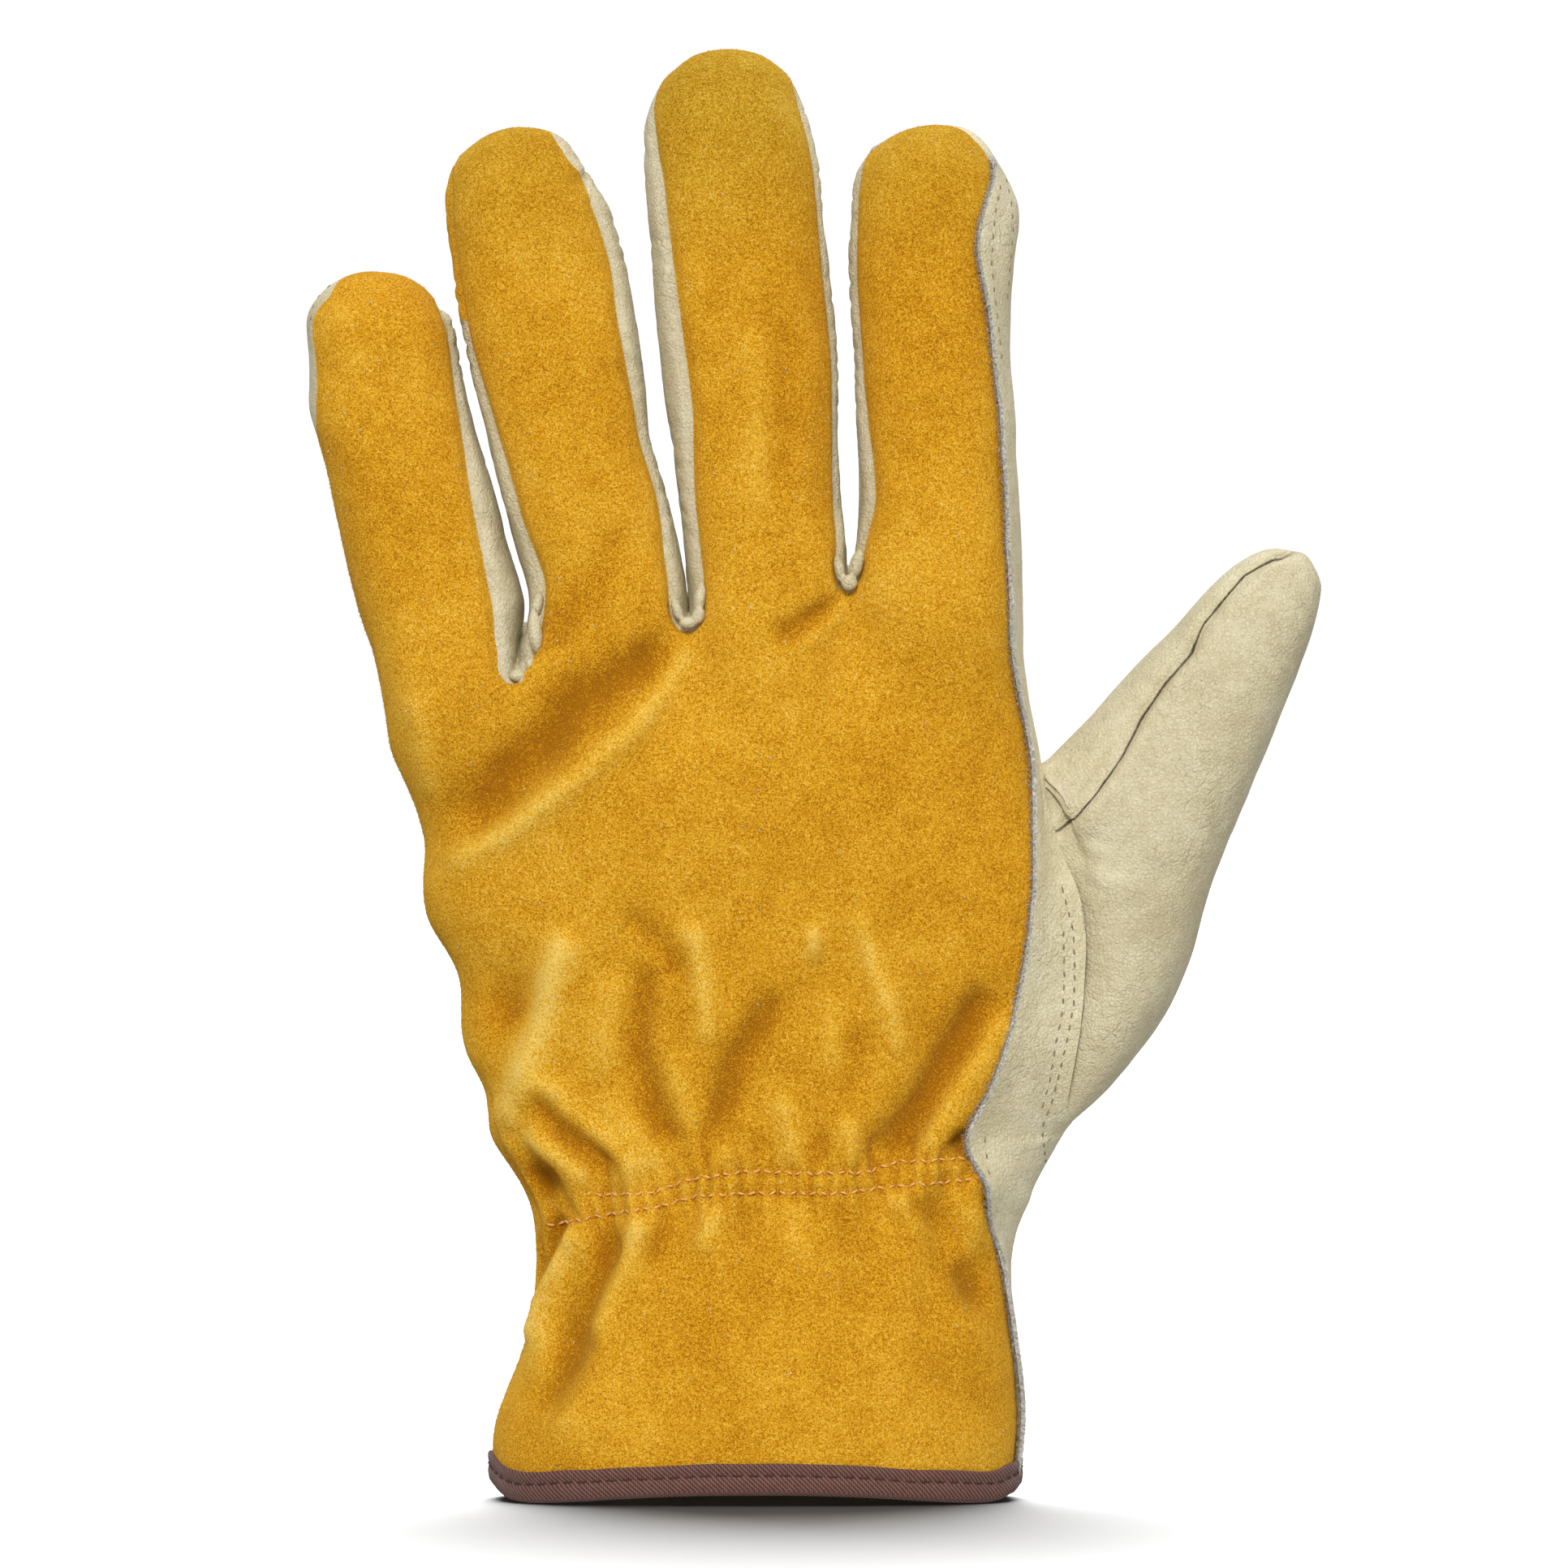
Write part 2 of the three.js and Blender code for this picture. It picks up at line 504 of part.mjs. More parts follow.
// A point of the back or the palm: rows up to handRows lie on the hand and the rest on a finger.
function panelPoint(f, onPalm, j, columns, row) {
  const crotch = columnCrotch(f, onPalm, j, columns, onPalm);
  if (row > handRows) {
    const backCrotch = columnCrotch(f, onPalm, j, columns, false);
    const z = fingerLevel(f, backCrotch, crotch, onPalm, row - handRows);
    return columnOnFinger(f, onPalm, j, columns, row - handRows, z, false);
  }
  const share = handRowShares[row];
  const level = share * crotch;
  const angle = handAngle(f, onPalm, j, columns, share, level);
  const hem = hemHeight(angle) + bindingThickness + seamGap;
  const z = mix(hem, crotch, share);
  const onHand = lifted(bodyPoint(angle, z), angle);
  const onFinger = columnOnFinger(f, onPalm, j, columns, 0, z, true);
  return onHand.lerp(onFinger, eased(share, fingersBlendFrom, 1));
}

// The skin: one sheet of shared points and four-sided faces, each face belonging to a panel.
const skin = { points: [], faces: [], seen: new Map() };

function skinPoint(point) {
  const key = point.toArray().map((value) => Math.round(value * weldsPerMillimetre)).join();
  if (!skin.seen.has(key)) {
    skin.seen.set(key, skin.points.length);
    skin.points.push(point);
  }
  return skin.seen.get(key);
}

// Adds the faces of a grid of points, leaving out the ones that the filter refuses.
function addGrid(panel, grid, keep = () => true) {
  for (let i = 0; i + 1 < grid.length; i += 1) {
    for (let j = 0; j + 1 < grid[i].length; j += 1) {
      const corners = [grid[i][j], grid[i][j + 1], grid[i + 1][j + 1], grid[i + 1][j]];
      const face = corners.filter((corner, k) => corner !== corners[(k + 3) % 4]);
      if (face.length > 2 && keep(i, j)) {
        skin.faces.push({ panel, corners: face });
      }
    }
  }
}

function panelGrid(f, onPalm, columns) {
  const grid = [];
  for (let row = 0; row < handRows + fingerRowShares.length; row += 1) {
    const line = [];
    for (let j = 0; j <= columns; j += 1) {
      line.push(skinPoint(panelPoint(f, onPalm, j, columns, row)));
    }
    grid.push(line);
  }
  return grid;
}

function inThumbHole(row, j) {
  return row >= thumbHole.firstRow && row < thumbHole.lastRow
    && j >= thumbHole.firstColumn && j < thumbHole.lastColumn;
}

// A gusset strip down the right side of one finger, through the crotch and up the next finger.
function addGusset(f, panel) {
  const strip = [];
  for (let step = -gussetRows; step <= gussetRows; step += 1) {
    const row = Math.abs(step);
    const line = [];
    for (let q = 0; q <= gussetColumns; q += 1) {
      line.push(skinPoint(gussetPoint(f, step, row, q / gussetColumns)));
    }
    strip.push(line);
  }
  const turned = strip[0].map((_, q) => strip.map((line) => line[q]));
  addGrid(panel, turned);
}

function gussetPoint(f, step, row, toPalm) {
  const onSide = (finger, side) => {
    const [backCrotch, palmCrotch] = [false, true].map((onPalm) => crotchHeight(f + 1, onPalm));
    const rows = [false, true].map((onPalm) => (
      fingerLevel(finger, backCrotch, palmCrotch, onPalm, row)
    ));
    const seams = [false, true].map((onPalm, k) => {
      const [first, last] = fingerSpan(finger, onPalm, row, rows[k], rows[k]);
      return (side === 'right') === onPalm ? first : last;
    });
    const palmAngle = side === 'left' ? seams[1] + 360 : seams[1];
    return fingerPoint(finger, mix(seams[0], palmAngle, toPalm), mix(rows[0], rows[1], toPalm));
  };
  if (step < 0) {
    return onSide(f, 'right');
  }
  if (step > 0) {
    return onSide(f + 1, 'left');
  }
  return onSide(f, 'right').lerp(onSide(f + 1, 'left'), 0.5);
}

// The loop of skin points round the thumb hole, from the bottom of its front edge, and the angle
// of the thumb's section that each point leads to.
function thumbLoop(palmGrid) {
  const { firstColumn, lastColumn, firstRow, lastRow } = thumbHole;
  const rows = lastRow - firstRow;
  const columns = lastColumn - firstColumn;
  const loop = [];
  const addEdge = (count, at, fromAngle, toAngle) => {
    for (let k = 0; k < count; k += 1) {
      const [row, j] = at(k);
      loop.push({ index: palmGrid[row][j], angle: mix(fromAngle, toAngle, k / count) });
    }
  };
  const { frontLow, frontHigh, palmHigh, palmLow, closed } = thumbLoopAngles;
  addEdge(rows, (k) => [firstRow + k, firstColumn], frontLow, frontHigh);
  addEdge(columns, (k) => [lastRow, firstColumn + k], frontHigh, palmHigh);
  addEdge(rows, (k) => [lastRow - k, lastColumn], palmHigh, palmLow);
  addEdge(columns, (k) => [firstRow, lastColumn - k], palmLow, closed);
  return loop;
}

function thumbPoint(section, angle) {
  const rootX = thumbRoot.across * handWidth;
  const rootZ = cuffLength + thumbRoot.up * handLength;
  const across = rounded(Math.cos(angle * toRadians)) * section.half * thumbWidth;
  const over = rounded(Math.sin(angle * toRadians)) * section.deep * thumbDepth;
  const tilt = section.tilt * toRadians;
  return new THREE.Vector3(
    rootX + section.out * thumbLength + across * Math.cos(tilt),
    thumbForward - over,
    rootZ + section.up * thumbLength - across * Math.sin(tilt),
  );
}

function addThumb(loop) {
  const tip = { ...thumbTip, tilt: 0, half: 0, deep: 0 };
  const seamLine = loop.findIndex((entry) => entry.angle > thumbSeamAngle);
  const lines = loop.map(({ index, angle }, k) => {
    const groove = k === seamLine ? thumbGroove : 0;
    const shrunk = thumbSections.map((section) => ({
      ...section,
      half: section.half - groove / thumbWidth,
      deep: section.deep - groove / thumbDepth,
    }));
    const through = [...shrunk, tip].map((section) => thumbPoint(section, angle));
    const base = skin.points[index];
    const swell = new THREE.Vector3(base.x, base.y, 0).setLength(thumbSwell);
    const shoulder = base.clone().lerp(through[0], thumbShoulderShare).add(swell);
    const curve = new THREE.CatmullRomCurve3([base, shoulder, ...through], false, 'centripetal');
    return Array.from({ length: thumbRings + 1 }, (_, ring) => (
      ring === 0 ? index : skinPoint(curve.getPoint(ring / thumbRings))
    ));
  });
  addGrid('thumb', [...lines, lines[0]]);
}

// Outward directions of the skin, averaged over the faces round each point.
function skinNormals() {
  const normals = skin.points.map(() => new THREE.Vector3());
  for (const { corners } of skin.faces) {
    const [a, b, c, d = corners[0]] = corners.map((corner) => skin.points[corner]);
    const last = corners.length > 3 ? d : a;
    const across = new THREE.Vector3().subVectors(c, a);
    const over = new THREE.Vector3().subVectors(last, b);
    const normal = across.cross(over);
    corners.forEach((corner) => normals[corner].add(normal));
  }
  return normals.map((normal) => normal.normalize());
}

// One panel as a closed wall: its faces, their copies one thickness inside, and the cut edges,
// which stand half a seam gap back from the seam.
function panelGeometry(panel, thickness, normals) {
  const faces = skin.faces.filter((face) => face.panel === panel);
  const edges = new Map();
  for (const { corners } of faces) {
    corners.forEach((corner, k) => {
      const next = corners[(k + 1) % corners.length];
      edges.set(`${corner},${next}`, [corner, next]);
    });
  }
  const cutEdges = [...edges.values()].filter(([a, b]) => !edges.has(`${b},${a}`));
  const insets = new Map();
  for (const [a, b] of cutEdges) {
    const along = new THREE.Vector3().subVectors(skin.points[b], skin.points[a]);
    [a, b].forEach((corner) => {
      const inset = new THREE.Vector3().crossVectors(normals[corner], along).normalize();
      insets.set(corner, (insets.get(corner) ?? new THREE.Vector3()).add(inset));
    });
  }
  const positions = [];
  const numbers = new Map();
  const wallPoint = (corner) => {
    if (!numbers.has(corner)) {
      numbers.set(corner, positions.length / 3);
      const outer = skin.points[corner].clone();
      const inset = insets.get(corner);
      if (inset) {
        outer.addScaledVector(inset, seamGap / Math.max(inset.lengthSq(), 1));
      }
      const inner = outer.clone().addScaledVector(normals[corner], -thickness);
      positions.push(...outer.toArray(), ...inner.toArray());
    }
    return numbers.get(corner);
  };
  const triangles = [];
  for (const { corners } of faces) {
    const outer = corners.map(wallPoint);
    for (let k = 1; k + 1 < outer.length; k += 1) {
      triangles.push(outer[0], outer[k], outer[k + 1]);
      triangles.push(outer[0] + 1, outer[k + 1] + 1, outer[k] + 1);
    }
  }
  for (const [a, b] of cutEdges) {
    const [start, end] = [wallPoint(a), wallPoint(b)];
    triangles.push(end, start, start + 1, end, start + 1, end + 1);
  }
  const geometry = new THREE.BufferGeometry();
  geometry.setAttribute('position', new THREE.Float32BufferAttribute(positions, 3));
  geometry.setIndex(triangles);
  geometry.computeVertexNormals();
  return geometry;
}

// The hem tape: a channel round the cuff's edge, open at the top for the leather.
function bindingGeometry(hemLoop, normals) {
  const wall = Math.max(suedeThickness, grainThickness);
  const out = seamGap;
  const inside = -wall - seamGap;
  const section = [
    [out + bindingThickness, 0], [out + bindingThickness, bindingHeight], [out, bindingHeight],
    [out, bindingThickness], [inside, bindingThickness], [inside, bindingHeight],
    [inside - bindingThickness, bindingHeight], [inside - bindingThickness, 0],
  ];
  const positions = [];
  const triangles = [];
  const count = hemLoop.length;
  hemLoop.forEach(({ index, above }, k) => {
    const foot = skin.points[index].clone();
    foot.z -= bindingThickness + seamGap;
    const lean = new THREE.Vector3().subVectors(skin.points[above], skin.points[index]);
    lean.divideScalar(lean.z);
    const outward = normals[index].clone().setZ(0).normalize();
    section.forEach(([across, up], side) => {
      const point = foot.clone().addScaledVector(lean, up).addScaledVector(outward, across);
      positions.push(...point.toArray());
      const next = (side + 1) % section.length;
      const here = k * section.length;
      const there = ((k + 1) % count) * section.length;
      triangles.push(here + side, there + side, there + next);
      triangles.push(here + side, there + next, here + next);
    });
  });
  const geometry = new THREE.BufferGeometry();
  geometry.setAttribute('position', new THREE.Float32BufferAttribute(positions, 3));
  geometry.setIndex(triangles);
  geometry.computeVertexNormals();
  return geometry;
}

const backGrids = fingers.map((_, f) => panelGrid(f, false, backColumns));
const palmGrids = fingers.map((_, f) => panelGrid(f, true, palmColumns[3 - f]));
backGrids.forEach((grid) => addGrid('back_panel', grid));
palmGrids.forEach((grid, f) => {
  addGrid('palm_panel', grid, (row, j) => f !== 3 || !inThumbHole(row, j));
});
gussetNames.forEach((name, f) => addGusset(f, name));
addThumb(thumbLoop(palmGrids[3]));

const normals = skinNormals();
const hemGrids = [...backGrids, ...[...palmGrids].reverse()];
const hemLoop = hemGrids.flatMap((grid) => grid[0].slice(0, -1).map((index, j) => (
  { index, above: grid[1][j] }
)));

const suede = new THREE.MeshStandardMaterial({ color: 0xd9a84e, roughness: 0.95, metalness: 0 });
const grain = new THREE.MeshStandardMaterial({ color: 0xe3dccb, roughness: 0.6, metalness: 0 });
const tape = new THREE.MeshStandardMaterial({ color: 0x5b4034, roughness: 0.9, metalness: 0 });

const glove = new THREE.Group();
function addPiece(name, geometry, material) {
  const mesh = new THREE.Mesh(geometry, material.clone());
  mesh.name = name;
  glove.add(mesh);
}
addPiece('back_panel', panelGeometry('back_panel', suedeThickness, normals), suede);
addPiece('palm_panel', panelGeometry('palm_panel', grainThickness, normals), grain);
gussetNames.forEach((name) => {
  addPiece(name, panelGeometry(name, grainThickness, normals), grain);
});
addPiece('thumb', panelGeometry('thumb', grainThickness, normals), grain);
addPiece('hem_binding', bindingGeometry(hemLoop, normals), tape);

export default glove;
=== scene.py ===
import math

import bmesh
import bpy
import numpy as np
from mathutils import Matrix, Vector, noise
from mathutils.bvhtree import BVHTree
from mathutils.kdtree import KDTree


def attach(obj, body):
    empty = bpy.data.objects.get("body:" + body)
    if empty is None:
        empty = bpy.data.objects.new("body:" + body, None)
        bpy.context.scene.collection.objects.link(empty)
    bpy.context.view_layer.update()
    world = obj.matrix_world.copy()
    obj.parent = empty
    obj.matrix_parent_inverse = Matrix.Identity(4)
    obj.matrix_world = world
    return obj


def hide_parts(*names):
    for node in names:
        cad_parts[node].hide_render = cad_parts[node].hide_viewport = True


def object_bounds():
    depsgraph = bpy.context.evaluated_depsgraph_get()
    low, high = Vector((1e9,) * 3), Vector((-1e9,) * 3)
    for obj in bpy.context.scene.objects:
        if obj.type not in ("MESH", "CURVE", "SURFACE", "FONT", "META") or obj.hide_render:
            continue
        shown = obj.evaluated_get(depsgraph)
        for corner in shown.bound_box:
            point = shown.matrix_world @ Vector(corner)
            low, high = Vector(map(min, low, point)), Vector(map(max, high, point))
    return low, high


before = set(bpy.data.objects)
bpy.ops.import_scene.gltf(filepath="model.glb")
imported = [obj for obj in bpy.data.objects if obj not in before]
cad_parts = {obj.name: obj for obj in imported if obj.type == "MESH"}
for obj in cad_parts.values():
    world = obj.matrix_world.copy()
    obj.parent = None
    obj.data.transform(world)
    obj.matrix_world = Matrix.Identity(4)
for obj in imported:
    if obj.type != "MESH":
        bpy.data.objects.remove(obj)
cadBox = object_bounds()
mm = 0.001

# The photograph's frame: pixels across and down, with the hem's lowest line at hemRow
photo = {"size": 1932, "pixelsPerMm": 7.2, "middleColumn": 929, "hemRow": 1848}


def fromPhoto(column, row):
    across = (column - photo["middleColumn"]) / photo["pixelsPerMm"] * mm
    up = (photo["hemRow"] - row) / photo["pixelsPerMm"] * mm
    return across, up


def smoothStep(values, low, high):
    t = np.clip((values - low) / (high - low), 0, 1)
    return t * t * (3 - 2 * t)


# The leather surfaces are the outer faces of the CAD walls, subdivided. Two pieces share a seam where
# their edges lie within seamReach.
surface = {
    "levels": 3, "wallLevel": 2, "fitPasses": 3, "fitLevels": 2, "weld": 0.01 * mm, "exact": 0.0005 * mm,
    "flat": math.radians(60), "square": math.radians(80), "seamReach": 1.5 * mm, "leastLength": 1e-12,
}


def cadOuterFaces(nodeName, wall, seed):
    # the wall's outer faces are reached from the seed face without crossing a cut edge
    bm = bmesh.new()
    bm.from_mesh(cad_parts[nodeName].data)
    bmesh.ops.remove_doubles(bm, verts=bm.verts, dist=surface["weld"])
    bm.normal_update()

    cut = {
        face for edge in bm.edges if abs(edge.calc_length() - wall) < surface["exact"]
        for face in edge.link_faces
    }
    start = max((face for face in bm.faces if face not in cut), key=seed)
    found, front = {start}, [start]
    while front:
        for edge in front.pop().edges:
            for face in edge.link_faces:
                if face not in found and face not in cut:
                    found.add(face)
                    front.append(face)
    bmesh.ops.delete(bm, geom=[face for face in bm.faces if face not in found], context="FACES")
    bmesh.ops.join_triangles(
        bm, faces=bm.faces[:], angle_face_threshold=surface["flat"], angle_shape_threshold=surface["square"]
    )
    print(nodeName, "outer", len(found), "cut", len(cut), "joined to", len(bm.faces))
    bm.verts.index_update()
    points = np.array([vert.co for vert in bm.verts])
    corners = np.array([vert.index for face in bm.faces for vert in face.verts])
    sizes = np.array([len(face.verts) for face in bm.faces])
    bm.free()
    return points, corners, sizes


def sumBy(index, values, count):
    return np.stack([np.bincount(index, values[:, k], count) for k in range(3)], 1)


def faceRing(corners, sizes):
    starts = np.concatenate([[0], np.cumsum(sizes)[:-1]])
    faceOf = np.repeat(np.arange(len(sizes)), sizes)
    place = np.arange(len(corners)) - starts[faceOf]
    after = starts[faceOf] + (place + 1) % sizes[faceOf]
    before = starts[faceOf] + (place - 1) % sizes[faceOf]
    return faceOf, after, before


def subdivided(points, corners, sizes):
    # one step of Catmull and Clark's rule: old points first, then one a edge, then one a face
    faceOf, after, before = faceRing(corners, sizes)
    ends = np.sort(np.stack([corners, corners[after]], 1), 1)
    edges, edgeOf, uses = np.unique(ends, axis=0, return_inverse=True, return_counts=True)
    edgeOf = edgeOf.ravel()
    facePoints = sumBy(faceOf, points[corners], len(sizes)) / sizes[:, None]
    middles = points[edges].mean(1)
    inside = (uses == 2)[:, None]
    faceSums = sumBy(edgeOf, facePoints[faceOf], len(edges))
    edgePoints = np.where(inside, (2 * middles + faceSums) / 4, middles)
    count = len(points)
    valence = np.bincount(edges.ravel(), minlength=count)[:, None]
    aroundFaces = sumBy(corners, facePoints[faceOf], count) / valence
    aroundEdges = sumBy(edges.ravel(), np.repeat(middles, 2, 0), count) / valence
    moved = (aroundFaces + 2 * aroundEdges + (valence - 3) * points) / valence
    rim = edges[uses == 1]
    rimCount = np.bincount(rim.ravel(), minlength=count)[:, None]
    rimSum = sumBy(rim.ravel(), np.repeat(middles[uses == 1], 2, 0), count)
    moved = np.where(rimCount > 0, points / 2 + rimSum / np.maximum(rimCount, 1) / 2, moved)
    quads = np.stack(
        [corners, count + edgeOf, count + len(edges) + faceOf, count + edgeOf[before]], 1
    )
    return np.concatenate([moved, edgePoints, facePoints]), quads.ravel(), np.full(len(quads), 4)


def fitted(points, corners, sizes):
    # control points whose smooth surface passes through the CAD points
    control = points.copy()
    for _ in range(surface["fitPasses"]):
        near, nearCorners, nearSizes = control, corners, sizes
        for _ in range(surface["fitLevels"]):
            near, nearCorners, nearSizes = subdivided(near, nearCorners, nearSizes)
        control += points - near[: len(points)]
    return control


def unit(rows):
    return rows / np.maximum(np.linalg.norm(rows, axis=1, keepdims=True), surface["leastLength"])


def pointNormals(points, quads):
    across = points[quads[:, 2]] - points[quads[:, 0]]
    over = points[quads[:, 3]] - points[quads[:, 1]]
    normals = sumBy(quads.ravel(), np.repeat(np.cross(across, over), 4, 0), len(points))
    return unit(normals)


# Each leather piece: its wall, the face that its outer skin is found from, and its finish
leather = {
    "back_panel": {"wall": 1.4 * mm, "seed": lambda f: -f.calc_center_median().y, "slot": "suede"},
    "palm_panel": {"wall": 1.2 * mm, "seed": lambda f: f.calc_center_median().y, "slot": "grain_leather"},
    "thumb": {"wall": 1.2 * mm, "seed": lambda f: f.calc_center_median().x, "slot": "thumb_leather"},
}
gussetNames = ["fourchette_little_ring", "fourchette_ring_middle", "fourchette_middle_index"]
for gussetName in gussetNames:
    leather[gussetName] = {
        "wall": 1.2 * mm, "slot": "gusset_leather",
        "seed": lambda f: f.normal.z - 5 * f.calc_center_median().z,
    }


def smoothSkin(nodeName):
    piece = leather[nodeName]
    points, corners, sizes = cadOuterFaces(nodeName, piece["wall"], piece["seed"])
    points = fitted(points, corners, sizes)
    for level in range(surface["levels"]):
        points, corners, sizes = subdivided(points, corners, sizes)
        if level + 1 == surface["wallLevel"]:
            piece["wallCount"] = len(points)
            piece["wallQuads"] = corners.reshape(-1, 4)
    quads = corners.reshape(-1, 4)
    normals = pointNormals(points, quads)
    faceOf, after, _ = faceRing(corners, sizes)
    starts, ends = corners, corners[after]
    keys = np.minimum(starts, ends) * len(points) + np.maximum(starts, ends)
    _, inverse, uses = np.unique(keys, return_inverse=True, return_counts=True)
    onRim = uses[inverse.ravel()] == 1
    piece.update(points=points, quads=quads, normals=normals, rim=np.stack([starts[onRim], ends[onRim]], 1))


def rimSamples(piece):
    # places along the cut edge, with the way that leads off the piece across the seam
    start, end = piece["points"][piece["rim"][:, 0]], piece["points"][piece["rim"][:, 1]]
    along = end - start
    normal = piece["normals"][piece["rim"]].mean(1)
    off = unit(np.cross(along, normal))
    shares = (0, 0.25, 0.5, 0.75)
    places = np.concatenate([start + along * share for share in shares])
    return places, np.tile(off, (len(shares), 1))


def treeOf(places):
    tree = KDTree(len(places))
    for k, place in enumerate(places):
        tree.insert(place, k)
    tree.balance()
    return tree


def findSeams():
    samples = {name: rimSamples(piece) for name, piece in leather.items()}
    trees = {name: treeOf(places) for name, (places, _) in samples.items()}
    for name, piece in leather.items():
        places, off = samples[name]
        across = []
        for place in places:
            gap, other = min((trees[other].find(place)[2], other) for other in leather if other != name)
            across.append(other if gap < surface["seamReach"] else "hem")
        found = [trees[name].find(point) for point in piece["points"]]
        index = np.array([hit[1] for hit in found])
        piece["toSeam"] = np.array([hit[2] for hit in found])
        piece["seamWith"] = np.array(across)[index]
        piece["seamOff"] = off[index]
        piece["seamPlace"] = places[index]


for nodeName in leather:
    smoothSkin(nodeName)
findSeams()
print("skins", {name: len(piece["quads"]) for name, piece in leather.items()})

# Folds by the photograph's pixels: how far they stand out, and how wide they are, in millimetres, and
# their line. Valleys are below zero. First the suede back's.
backFolds = [
    (-1.0, 3.8, [(835, 785), (780, 830), (721, 862), (657, 924), (603, 983), (570, 1030)]),
    (0.62, 2.0, [(853, 790), (823, 844), (780, 903), (721, 954), (641, 1015), (548, 1072)]),
    (-0.5, 3.0, [(780, 640), (745, 700), (700, 770), (678, 812)]),
    (0.35, 4.0, [(700, 800), (650, 870), (600, 930)]),
    (-0.8, 2.0, [(1026, 738), (990, 770), (950, 792)]),
    (0.35, 1.6, [(1042, 742), (1010, 778), (970, 806)]),
    (0.4, 2.0, [(508, 850), (525, 920), (532, 990)]),
    (1.0, 2.6, [(705, 1141), (684, 1200), (667, 1264), (640, 1335), (625, 1398)]),
    (-0.8, 4.6, [(640, 1180), (630, 1235), (612, 1290)]),
    (0.7, 2.2, [(657, 1322), (705, 1372), (760, 1418), (800, 1452)]),
    (-0.95, 2.2, [(650, 1345), (689, 1385), (735, 1418), (769, 1446)]),
    (0.4, 2.0, [(735, 1345), (790, 1400), (815, 1440)]),
    (0.8, 2.0, [(641, 1386), (694, 1425), (732, 1462)]),
    (-1.3, 2.0, [(652, 1428), (668, 1450), (684, 1482)]),
    (-0.75, 2.2, [(800, 1180), (791, 1232), (785, 1291), (807, 1366), (833, 1414)]),
    (0.35, 2.8, [(760, 1190), (748, 1260), (755, 1330)]),
    (-0.5, 1.8, [(770, 1120), (800, 1150), (830, 1180), (838, 1215)]),
    (0.75, 1.8, [(850, 1130), (862, 1180), (871, 1237), (874, 1290)]),
    (0.45, 2.0, [(830, 1290), (838, 1340), (856, 1400)]),
    (-0.75, 2.2, [(962, 1215), (930, 1270), (905, 1312), (890, 1371), (900, 1420)]),
    (0.9, 1.3, [(1000, 1135), (1002, 1160), (1003, 1185)]),
    (0.55, 1.7, [(1055, 1120), (1075, 1190), (1098, 1250), (1112, 1300)]),
    (0.35, 1.7, [(1018, 1215), (1024, 1270), (1022, 1320)]),
    (-0.4, 2.4, [(1060, 1250), (1050, 1310), (1040, 1370)]),
    (-1.05, 2.4, [(1220, 1215), (1192, 1265), (1171, 1302), (1123, 1382), (1092, 1428)]),
    (0.55, 2.0, [(1238, 1240), (1205, 1300), (1160, 1368), (1130, 1420)]),
    (-0.3, 3.0, [(1130, 1180), (1145, 1250), (1135, 1310)]),
    (-1.0, 1.8, [(1188, 1385), (1178, 1408), (1160, 1425)]),
    (-0.45, 1.3, [(872, 1370), (870, 1410), (866, 1440)]),
    (0.45, 1.4, [(898, 1375), (895, 1415), (893, 1440)]),
    (0.6, 1.8, [(960, 1340), (972, 1390), (976, 1438)]),
    (-0.5, 1.6, [(1010, 1380), (1008, 1415), (1006, 1440)]),
    (0.5, 1.6, [(1045, 1370), (1048, 1405), (1050, 1436)]),
    (-0.4, 1.3, [(1080, 1390), (1078, 1415), (1078, 1438)]),
    (-0.4, 1.5, [(930, 1385), (935, 1415), (938, 1440)]),
    (1.15, 1.9, [(716, 1500), (694, 1543), (668, 1600), (655, 1660)]),
    (-1.25, 1.8, [(700, 1495), (676, 1540), (650, 1600)]),
    (-1.05, 2.6, [(762, 1503), (748, 1559), (722, 1620), (700, 1680), (672, 1740)]),
    (0.9, 2.0, [(796, 1490), (775, 1545), (748, 1600), (730, 1650)]),
    (-0.4, 1.6, [(828, 1480), (820, 1520), (808, 1560)]),
    (0.65, 1.7, [(882, 1476), (874, 1510), (862, 1545)]),
    (-0.35, 1.6, [(925, 1472), (922, 1505), (918, 1540)]),
    (0.35, 2.0, [(975, 1470), (978, 1510), (984, 1555)]),
    (-0.35, 1.8, [(1030, 1470), (1038, 1505), (1050, 1545)]),
    (0.85, 1.8, [(1096, 1464), (1125, 1495), (1155, 1525), (1187, 1565)]),
    (-0.95, 2.0, [(1112, 1470), (1150, 1515), (1180, 1560), (1210, 1610)]),
    (0.35, 2.0, [(1168, 1455), (1195, 1500), (1212, 1550)]),
    (0.3, 2.4, [(930, 400), (934, 520), (930, 640)]),
    (-0.25, 2.6, [(960, 380), (966, 500), (958, 620)]),
    (0.4, 3.5, [(640, 1620), (690, 1700), (720, 1790)]),
    (-0.3, 4.0, [(1120, 1640), (1180, 1690), (1235, 1760)]),
]
